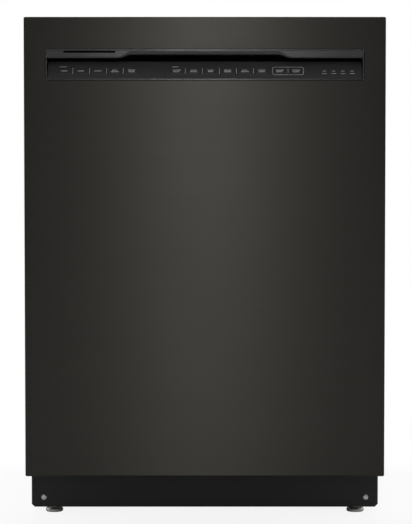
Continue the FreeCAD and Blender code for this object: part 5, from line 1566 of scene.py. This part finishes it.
@dataclass
class Running:
    """Wheels of the lower rack, and the rails and tracks of the upper one."""

    spokes: int = 6

    def build(self) -> None:
        """Make two pairs of wheels, the rails and the tracks."""
        for name in ("front_wheels", "rear_wheels"):
            self._pair(name)
        self._rails()
        self._tracks()

    def _pair(self, name: str) -> None:
        """Two spoked wheels with a grooved tread."""
        low, high = reach(name)
        y, z = (low.y + high.y) / 2, (low.z + high.z) / 2
        bm = bmesh.new()
        for x in (low.x, high.x - 8):
            add_lathe(bm, ((14.5, 0), (18, 0), (19, 1), (19, 3.2), (18.3, 3.6), (18.3, 4.4), (19, 4.8),
                           (19, 7), (18, 8), (14.5, 8), (14.5, 0)), at(x, y, z, Axis.X), 40)
            add_lathe(bm, ((3.1, 0), (6, 0), (6.6, 0.6), (6.6, 7.4), (6, 8), (3.1, 8), (3.1, 0)),
                      at(x, y, z, Axis.X), 24)
            for spin in turned(at(x, y, z, Axis.X), self.spokes):
                block(bm, (6, 15.2), (-1.6, 1.6), (1.6, 6.4), 0.6, 2, spin)
        finished(bm, f"{name}_spoked", name, "grey_plastic", name)

    def _rails(self) -> None:
        """Rolled channels screwed to the tub's sides."""
        low, high = reach("upper_rails")
        bm = bmesh.new()
        back = high.x
        block(bm, (back - 1.4, back), (low.y, high.y), (low.z, high.z), 0.5)
        for z in (low.z, high.z - 1.6):
            block(bm, (back - 10, back), (low.y, high.y), (z, z + 1.6), 0.6)
        for z in (low.z + 0.2, high.z - 3.4):
            block(bm, (back - 10, back - 8.6), (low.y, high.y), (z, z + 3.2), 0.5)
        for y in (low.y + 60, 0, high.y - 60):
            add_lathe(bm, ((0, 0), (5, 0), (4.6, 0.3), (0, 0.4)),
                      at(back - 1.8, y, (low.z + high.z) / 2, Axis.X), 20)
        mirrored(bm)
        finished(bm, "rolled_rails", "cabinet", "stainless", "upper_rails")

    def _tracks(self) -> None:
        """Sliding tracks with pressed grooves and a stop at each end."""
        low, high = reach("upper_tracks")
        bm = bmesh.new()
        inner, outer = high.x - 9, high.x
        block(bm, (outer - 5.5, outer - 2.5), (low.y, high.y), (low.z + 3, high.z - 3), 0.8)
        for z in (low.z, high.z - 5):
            block(bm, (inner + 0.5, outer), (low.y, high.y), (z, z + 5), 1.4, 3)
        block(bm, (inner, outer - 3), (low.y, low.y + 9), (low.z + 2, high.z - 2), 2.0, 3)
        block(bm, (inner + 1, outer - 3), (high.y - 7, high.y), (low.z + 2, high.z - 2), 1.6, 3)
        for z in (low.z + 10.5, high.z - 13.5):
            block(bm, (outer - 6.6, outer - 5), (low.y + 12, high.y - 12), (z, z + 3), 0.7)
        mirrored(bm)
        finished(bm, "sliding_tracks", "upper_tracks", "stainless", "upper_tracks")


@dataclass
class CutleryBasket:
    """Open-work cutlery basket with four cells and a handle."""

    wall: float = 2.5
    low: Vector = box_corner("cutlery_basket", 0)
    high: Vector = box_corner("cutlery_basket", 1)

    def build(self) -> None:
        """Make the slotted walls, the floor, the dividers and the handle."""
        low, high, wall = self.low, self.high, self.wall
        top = low.z + 120
        bm = bmesh.new()
        for y in (low.y, high.y - wall):
            add_plate(bm, [box_loop((low.x, high.x), (low.z, top), 4),
                           *self._slots((low.x, high.x), (low.z, top), 16)],
                      wall, front_face(y + wall), 0.3)
        pitch = (high.x - low.x - wall) / 4
        for index in range(5):
            x = low.x + pitch * index
            slots = self._slots((low.y, high.y), (low.z, top), 4)
            add_plate(bm, [box_loop((low.y + 0.4, high.y - 0.4), (low.z, top - 1), 2), *slots], wall,
                      side_face(x), 0.3)
        holes = []
        for x in steps(low.x + 9, high.x - 9, 19):
            for y in steps(low.y + 10, high.y - 10, 5):
                if all(abs(x - low.x - pitch * index - wall / 2) > 4.4 for index in range(5)):
                    holes.append(box_loop((x - 3.2, x + 3.2), (y - 3.6, y + 3.6)))
        add_plate(bm, [box_loop((low.x + 0.4, high.x - 0.4), (low.y + 0.4, high.y - 0.4), 3), *holes], wall,
                  level(low.z), 0.2)
        middle = (low.y + high.y) / 2
        rim = RodWork(2)
        corners = [(low.x + 2, low.y + 2, top - 1), (high.x - 2, low.y + 2, top - 1),
                   (high.x - 2, high.y - 2, top - 1), (low.x + 2, high.y - 2, top - 1)]
        rim.add(corners, 2.0, 5, True)
        joined(bm, rim.mesh())
        for sign in (-1, 1):
            x = sign * (high.x - low.x) / 4
            block(bm, (x - 3, x + 3), (middle - 3, middle + 3), (low.z + 8, high.z - 3), 1.6, 3)
        block(bm, (-60.5, 60.5), (middle - 3, middle + 3), (high.z - 8, high.z), 2.4, 4)
        finished(bm, "slotted_basket", "cutlery_basket", "grey_plastic", "cutlery_basket")

    @staticmethod
    def _slots(u: Span, v: Span, columns: int) -> list[list[Span]]:
        """Rows of upright slots inside a wall."""
        pitch = (u[1] - u[0] - 10) / columns
        loops = []
        for column in range(columns):
            middle = u[0] + 5 + pitch * (column + 0.5)
            for row in range(4):
                foot = v[0] + 8 + row * 27.5
                loops.append(box_loop((middle - pitch * 0.32, middle + pitch * 0.32), (foot, foot + 22)))
        return loops


# ------------------------------------------------------------------- inside the door
@dataclass
class InnerDoor:
    """Pressed door liner with its seal, arms, vent, dispenser, latch and springs."""

    low: Vector = box_corner("inner_door", 0)
    high: Vector = box_corner("inner_door", 1)

    def build(self) -> None:
        """Make the liner and everything on it."""
        self._liner()
        self._arms()
        self._foot_seal()
        self._vent()
        self._dispenser()
        self._lid()
        self._cap()
        self._latch()
        self._springs()

    def _liner(self) -> None:
        """Press a field and beads into the sheet, cut its openings and fold its sides."""
        low, high = self.low, self.high
        dispenser = reach("dispenser_body")
        holes = (((dispenser[0].x + 6, dispenser[1].x - 6), (dispenser[0].z + 6, dispenser[1].z - 6)),
                 ((-12.0, 12.0), (814.0, 828.0)), ((-219.0, -181.0), (681.0, 719.0)))
        xs = sorted({low.x, high.x, *steps(low.x + 3, high.x - 3, 78),
                     *(edge for hole in holes for edge in hole[0])})
        zs = sorted({low.z, high.z, *steps(low.z + 3, high.z - 3, 96),
                     *(edge for hole in holes for edge in hole[1])})

        def sheet(x: float, z: float) -> Point:
            """A point of the pressed face."""
            inset = min(x - low.x, high.x - x, z - low.z, high.z - z)
            depth = 3.2 * eased((inset - 26) / 9)
            clear = max(dispenser[0].x - 14 - x, x - dispenser[1].x - 14, dispenser[0].z - 14 - z,
                        z - dispenser[1].z - 14)
            duct = math.hypot(x + 200, z - 700) - 44
            latch = max(abs(x) - 44, 800 - z)
            depth *= eased(min(clear, duct, latch) / 10 + 1)
            for mid in (200, 270, 340, 630):
                if abs(x) < 225:
                    depth -= 2.4 * math.exp(-((z - mid) / 5.5) ** 2) * eased((225 - abs(x)) / 12)
            corner = 6 * (1 - math.sqrt(max(0.0, 1 - max(0.0, 1 - inset / 6) ** 2)))
            return x * MM, (high.y - 0.6 - max(0.0, depth) - corner) * MM, z * MM

        bm = bmesh.new()
        add_grid(bm, xs, zs, sheet)
        cut = [face for face in bm.faces if any(
            hole[0][0] < face.calc_center_median().x / MM < hole[0][1]
            and hole[1][0] < face.calc_center_median().z / MM < hole[1][1] for hole in holes)]
        bmesh.ops.delete(bm, geom=cut, context="FACES")
        rim = [edge for edge in bm.edges if edge.is_boundary
               and any(lies_at(edge, axis, side[axis] * MM) for axis in (0, 2) for side in (low, high))]
        made = bmesh.ops.extrude_edge_only(bm, edges=rim)
        for vert in of_kind(made, BMVert):
            vert.co.y = low.y * MM
        outward(bm)
        finished(bm, "pressed_liner", "door", "stainless", "inner_door", angle=40, wall=1.1)

    def _arms(self) -> None:
        """Pierced hinge arms with a pin bush and a fixing lug."""
        low, high = reach("hinge_arms")
        bm = bmesh.new()
        x = high.x - 2.5
        outline = box_loop((low.y, high.y), (low.z, high.z), 6)
        holes = [round_loop(HINGE_PIN, 5.05, 28), round_loop((-284, 135), 7, 20),
                 box_loop((-290, -278), (172, 198), 5)]
        add_plate(bm, [outline, *holes], 2.5, side_face(x), 0.3)
        add_lathe(bm, ((5.06, 0), (8.5, 0), (8.5, -2.2), (7.6, -2.8), (5.06, -2.8), (5.06, 0)),
                  at(x, *HINGE_PIN, Axis.X), 28)
        block(bm, (291, x + 1), (-301, -286), (160, 200), 1.2, 2)
        for z in (170, 190):
            add_lathe(bm, ((0, 0), (3.6, 0), (3.4, 0.7), (0, 0.9)), at(x + 1.6, -293, z, Axis.X), 16)
        mirrored(bm)
        finished(bm, "pierced_arms", "door", "galvanised", "hinge_arms")

    def _foot_seal(self) -> None:
        """A wiper strip with two soft ribs."""
        low, high = reach("door_bottom_seal")
        bm = bmesh.new()
        block(bm, (low.x, high.x), (low.y, low.y + 1.1), (low.z, high.z), 0.4)
        line = RodWork(2)
        for z in (low.z + 2.2, high.z - 2.2):
            line.add([(low.x + 1, low.y + 1.0, z), (high.x - 1, low.y + 1.0, z)], 0.95)
        joined(bm, line.mesh())
        finished(bm, "wiper_strip", "door", "rubber_grey", "door_bottom_seal")

    def _vent(self) -> None:
        """Moulded duct with a round louvred grille."""
        low, high = reach("vent_duct")
        x, z = (low.x + high.x) / 2, low.z + 38
        face = high.y
        bm = bmesh.new()
        block(bm, (low.x, high.x), (low.y, face - 4.3), (low.z, high.z), 4.0, 4)
        for rise in (20, 50):
            block(bm, (low.x, high.x), (low.y + 3, face - 8), (low.z + rise - 1, low.z + rise + 1), 0.4)
        place = at(x, face, z) @ Matrix.Rotation(math.pi / 2, 4, "X")
        add_lathe(bm, ((27.4, 7), (27.4, 2.8), (33.2, 2.8), (34, 2.0), (33, 0.6), (29, 0), (25.6, 0.4),
                       (25, 1.2), (25, 7), (27.4, 7)), place, 56)
        for rise in steps(-20, 20, 9):
            half = math.sqrt(25.4 ** 2 - rise ** 2)
            spin = at(x, face - 2.2, z + rise) @ Matrix.Rotation(math.radians(-35), 4, "X")
            block(bm, (-half, half), (-1.8, 1.8), (-0.6, 0.6), 0.3, 1, spin)
        add_plate(bm, [round_loop((x, z), 26, 40)], 1.0, front_face(face - 4.6))
        finished(bm, "louvred_vent", "door", "grey_plastic", "vent_duct")

    def _dispenser(self) -> None:
        """Dispenser housing with a framed recess, the detergent cup and the cap's seat."""
        low, high = reach("dispenser_body")
        face = high.y
        bm = bmesh.new()
        frame_line = box_loop((low.x, high.x), (low.z, high.z), 12, 7)
        cup = box_loop((5, 85), (490, 558), 6, 6)
        seat = round_loop((50, 457), 14.3, 36)
        add_plate(bm, [frame_line, cup, seat], 3.0, front_face(face), 0.7)
        tray = box_loop((low.x + 7, high.x - 7), (low.z + 7, high.z - 7), 8, 6)
        add_plate(bm, [tray, cup, seat], 20.0, front_face(face - 2.0), 0.4)
        add_plate(bm, [tray], 3.0, front_face(face - 25.0), 0.4)
        add_plate(bm, [box_loop((-80, -6), (486, 562), 6, 6), box_loop((-74, -12), (492, 556), 4, 6)], 1.2,
                  front_face(face), 0.3)
        for index in range(5):
            z = 500 + index * 12
            block(bm, (-70, -16), (face - 0.6, face), (z - 1, z + 1), 0.4)
        add_plate(bm, [box_loop((-76, 22), (437, 470), 5, 6), box_loop((-72, 18), (441, 466), 3, 6)], 1.0,
                  front_face(face), 0.3)
        finished(bm, "dispenser_housing", "door", "grey_plastic", "dispenser_body")

    def _lid(self) -> None:
        """Sliding lid with a ribbed thumb pad."""
        low, high = reach("detergent_lid")
        bm = bmesh.new()
        add_plate(bm, [box_loop((low.x, high.x), (low.z, high.z), 7, 7)], 2.2, front_face(high.y - 1.0), 0.7)
        block(bm, (low.x + 6, high.x - 6), (high.y - 1.6, high.y - 0.5), (low.z + 6, high.z - 6), 0.5)
        for index in range(5):
            x = high.x - 14 - index * 4.5
            block(bm, (x - 0.9, x + 0.9), (high.y - 1.2, high.y), (low.z + 16, high.z - 16), 0.5)
        finished(bm, "ribbed_lid", "detergent_lid", "grey_plastic", "detergent_lid")

    def _cap(self) -> None:
        """Quarter-turn cap with a grip bar and edge notches."""
        low, high = reach("rinse_aid_cap")
        x, z = (low.x + high.x) / 2, (low.z + high.z) / 2
        place = at(x, -256, z, Axis.Y)
        bm = bmesh.new()
        add_lathe(bm, ((0, -9), (13, -9), (14, -8), (14, 0.3), (17.4, 0.3), (18, 0.9), (18, 2.2), (17, 3),
                       (0, 3)), place, 44)
        block(bm, (-13, 13), (-2.8, 2.8), (1, high.y + 256), 1.3, 3, place)
        for spin in turned(place, 24):
            block(bm, (17.1, 18), (-0.7, 0.7), (0.7, 2.6), 0.2, 1, spin)
        finished(bm, "notched_cap", "rinse_aid_cap", "grey_plastic", "rinse_aid_cap")

    def _latch(self) -> None:
        """Latch housing with ribs and screws, and its pivoting hook."""
        low, high = reach("door_latch")
        bm = bmesh.new()
        for span in ((low.x, -12.0), (12.0, high.x)):
            block(bm, span, (low.y, high.y), (low.z, high.z), 1.6, 3)
            for x in steps(span[0] + 5, span[1] - 5, 4):
                block(bm, (x - 0.7, x + 0.7), (low.y + 1, high.y - 1), (high.z - 1, high.z), 0.3)
        block(bm, (-12.4, 12.4), (low.y, high.y), (low.z, low.z + 2), 0.5)
        block(bm, (-12.4, 12.4), (low.y, low.y + 3), (low.z, high.z), 0.5)
        block(bm, (-12.4, 12.4), (low.y, high.y), (831, high.z), 0.8)
        add_lathe(bm, ((0, -13), (2.5, -13), (2.5, 13), (0, 13)), at(0, -296, 814, Axis.X), 20)
        for x in (-30, 30):
            screw_head(bm, at(x, low.y + 1.4, 824) @ Matrix.Rotation(math.pi / 2, 4, "X"), 3.0)
        finished(bm, "latch_housing", "door", "dark_plastic", "door_latch")
        outline = [(-300, 810), (-296, 809.6), (-270, 816.5), (-270, 824), (-273.5, 825.5), (-274, 818.5),
                   (-300, 818.5)]
        bm = bmesh.new()
        add_plate(bm, [outline, round_loop((-296, 814), 2.55, 20)], 8.0, side_face(-4), 0.5)
        finished(bm, "hook_plate", "latch_hook", "zinc", "latch_hook")

    def _springs(self) -> None:
        """Two coil springs with end hooks."""
        low, high = reach("door_springs")
        z = (low.z + high.z) / 2
        line = RodWork(1)
        turns, points = 46, 12
        for sign in (-1, 1):
            x = sign * (high.x - 7)
            path = [(x, low.y, z), (x, low.y + 5, z), (x, low.y + 8, z + 3)]
            for step in range(turns * points + 1):
                angle = math.tau * step / points
                y = low.y + 10 + (high.y - low.y - 20) * step / (turns * points)
                path.append((x + 5.8 * math.sin(angle), y, z + 5.8 * math.cos(angle)))
            path += [(x, high.y - 8, z + 3), (x, high.y - 5, z), (x, high.y, z)]
            line.add(path, 1.15)
        finished(line.mesh(), "coil_springs", "cabinet", "zinc", "door_springs")


@dataclass
class Controls:
    """Fascia panel with its windows, key caps, lamp windows and circuit board."""

    console: Console = field(default_factory=Console)
    row: float = KEY_ROW
    sheet: float = 2.5

    def build(self) -> None:
        """Make the panel, the caps, the windows and the board."""
        self._panel()
        self._caps()
        self._lamps()
        self._board()

    def _panel(self) -> None:
        """Cut the windows in a sloped sheet and add its upper ledge."""
        low, high = reach("control_fascia")
        length = 30.3 / math.cos(self.console.tilt)
        windows = []
        for name in key_nodes():
            spot = reach(name)
            windows.append(box_loop((spot[0].x - 0.3, spot[1].x + 0.3),
                                    (self.row - 7.8, self.row + 7.8), 1.2, 4))
        for x in LAMP_PLACES:
            windows.append(box_loop((x - 3, x + 3), (self.row - 1.5, self.row + 1.5), 0.6, 3))
        bm = bmesh.new()
        add_plate(bm, [box_loop((low.x, high.x), (0.2, length - 0.2), 0.5, 2), *windows], self.sheet,
                  self.console.slope(0, 0, -self.sheet), 0.15)
        ledge = low.y + 30.3 * math.tan(self.console.tilt)
        block(bm, (low.x, high.x), (ledge + 0.8, high.y), (high.z - self.sheet - 0.4, high.z - 0.4), 0.2)
        finished(bm, "fascia_panel", "door", "fascia_black", "control_fascia", angle=30)

    def _caps(self) -> None:
        """A softly rounded cap for each key."""
        for name in key_nodes():
            low, high = reach(name)
            bm = bmesh.new()
            block(bm, (low.x, high.x), (self.row - 7.5, self.row + 7.5), (-4, 0), 0.7, 3,
                  self.console.slope(0, 0, 0))
            finished(bm, f"{name}_cap", name, "key_black", name, angle=30)

    def _lamps(self) -> None:
        """Four softly rounded lamp windows, just below the panel's face."""
        bm = bmesh.new()
        for x in LAMP_PLACES:
            block(bm, (x - 2.9, x + 2.9), (self.row - 1.4, self.row + 1.4), (-2.5, -0.05), 0.5, 2,
                  self.console.slope(0, 0, 0))
        finished(bm, "lamp_windows", "door", "lens", "indicator_lenses")

    def _board(self) -> None:
        """Circuit board with switches under the keys, three chips and a row of small parts."""
        bm = bmesh.new()
        low, high = reach("control_board")
        place = self.console.slope(0, 0, -6.6)
        holes = [round_loop((x, self.row + 10.4), 1.4, 12) for x in (low.x + 5, -75, 110, high.x - 5)]
        add_plate(bm, [box_loop((low.x, high.x), (self.row - 8.5, self.row + 12.5), 1.5, 4), *holes], 1.6,
                  place, 0.15)
        for name in key_nodes():
            spot = reach(name)
            x = (spot[0].x + spot[1].x) / 2
            block(bm, (x - 3, x + 3), (self.row - 3, self.row + 3), (1.5, 1.9), 0.15, 1, place)
        for x, half in ((-80, 9), (180, 7), (215, 5)):
            block(bm, (x - half, x + half), (self.row - 4, self.row + 6), (-1.8, 0.1), 0.3, 2, place)
            for pin in steps(x - half + 1, x + half - 1, 7):
                block(bm, (pin - 0.3, pin + 0.3), (self.row - 5.2, self.row + 7.2), (-0.4, 0.1), 0.1, 1,
                      place)
        for x in steps(-60, 90, 9):
            block(bm, (x - 1, x + 1), (self.row + 7.5, self.row + 8.7), (-0.8, 0.1), 0.15, 1, place)
        finished(bm, "circuit_board", "door", "board", "control_board")


# ------------------------------------------------------------------------- studio
class Studio:
    """Floor, lights and camera."""

    def build(self) -> None:
        """Set up the stage round the object."""
        self._floor()
        self._world()
        self._light("strip", (0.0, -4.6, 2.1), (0.25, 2.2), 31, (0.0, -0.3, 0.6))
        self._light("overhead", (0.0, 0.5, 3.0), (2.2, 1.4), 60, (0.0, 0.1, 0.4))
        self._light("left", (-3.0, 0.5, 1.8), (1.2, 2.2), 40, (0.0, 0.1, 0.5))
        self._light("right", (3.0, 0.5, 1.8), (1.2, 2.2), 40, (0.0, 0.1, 0.5))
        self._camera()

    def _floor(self) -> None:
        """A wide pale floor."""
        bm = bmesh.new()
        bmesh.ops.create_grid(bm, x_segments=1, y_segments=1, size=12.0)
        data = bpy.data.meshes.new("floor")
        bm.to_mesh(data)
        bm.free()
        obj = bpy.data.objects.new("floor", data)
        bpy.context.scene.collection.objects.link(obj)
        made = Shader("floor", Base_Color=(0.9, 0.9, 0.9, 1), Roughness=0.9)
        far = made.node("VectorMath", made.node("TexCoord").outputs["Object"], how="LENGTH")
        pale = made.spread(far.outputs["Value"], 0.88, 1.0, 0.5, 1.3)
        share = made.node("Math", made.node("LightPath").outputs["Is Camera Ray"], pale, how="MULTIPLY")
        glow = made.node("Emission").outputs[0]
        mix = made.node("MixShader", share.outputs[0], made.surface.outputs[0], glow)
        made.fill(made.tree.nodes["Material Output"], {"Surface": mix.outputs[0]})
        obj.data.materials.append(made.material)

    def _world(self) -> None:
        """A white backdrop that lights the object only dimly."""
        world = bpy.data.worlds.new("studio")
        bpy.context.scene.world = world
        world.use_nodes = True
        net = Wiring(world.node_tree)
        dim = net.tree.nodes["Background"]
        net.fill(dim, {"Color": (1, 1, 1, 1), "Strength": 0.22})
        white = net.node("Background", Color=(1, 1, 1, 1))
        seen = net.node("LightPath").outputs["Is Camera Ray"]
        mix = net.node("MixShader", seen, dim.outputs[0], white.outputs[0])
        net.fill(net.tree.nodes["World Output"], {"Surface": mix.outputs[0]})

    @staticmethod
    def _light(name: str, place: Point, size: Span, power: float, target: Point) -> None:
        """An area light aimed at a point."""
        data = bpy.data.lights.new(name, "AREA")
        data.shape = "RECTANGLE"
        data.size, data.size_y = size
        data.energy = power
        obj = bpy.data.objects.new(name, data)
        obj.location = place
        obj.rotation_euler = (Vector(target) - Vector(place)).to_track_quat("-Z", "Y").to_euler()
        bpy.context.scene.collection.objects.link(obj)

    def _camera(self) -> None:
        """A long lens a little over three metres in front, looking slightly down."""
        data = bpy.data.cameras.new("camera")
        data.lens = 129.4
        data.shift_x = 0.0023
        data.shift_y = -0.0019
        obj = bpy.data.objects.new("camera", data)
        obj.location = (0.0, -3.4736, 0.5811)
        obj.rotation_euler = (math.pi / 2 - 0.04447, 0, 0)
        bpy.context.scene.collection.objects.link(obj)
        bpy.context.scene.camera = obj


def dress_nodes() -> None:
    """Give every CAD node the finish of its slot."""
    slots = {part["node"]: part["material_slot"] for part in frame["record"]["subparts"]}
    for name, obj in frame["nodes"].items():
        obj.data.materials.clear()
        obj.data.materials.append(material(slots[name]))


def main() -> None:
    """Build the pieces in order and log each one."""
    logging.basicConfig(level=logging.INFO)
    bpy.context.scene.view_settings.view_transform = "Standard"
    dress_nodes()
    for part in (Studio(), DoorSkin(), Console(), Controls(), Base(), Tub(), WashSystem(),
                 SprayArm("lower_spray_arm"),
                 SprayArm("upper_spray_arm"), Rack("lower_rack"),
                 Rack("upper_rack", wheels=False, deck=512.0), Running(),
                 CutleryBasket(), InnerDoor()):
        part.build()
        LOG.info("built %s", type(part).__name__)


if __name__ == "__main__":
    main()
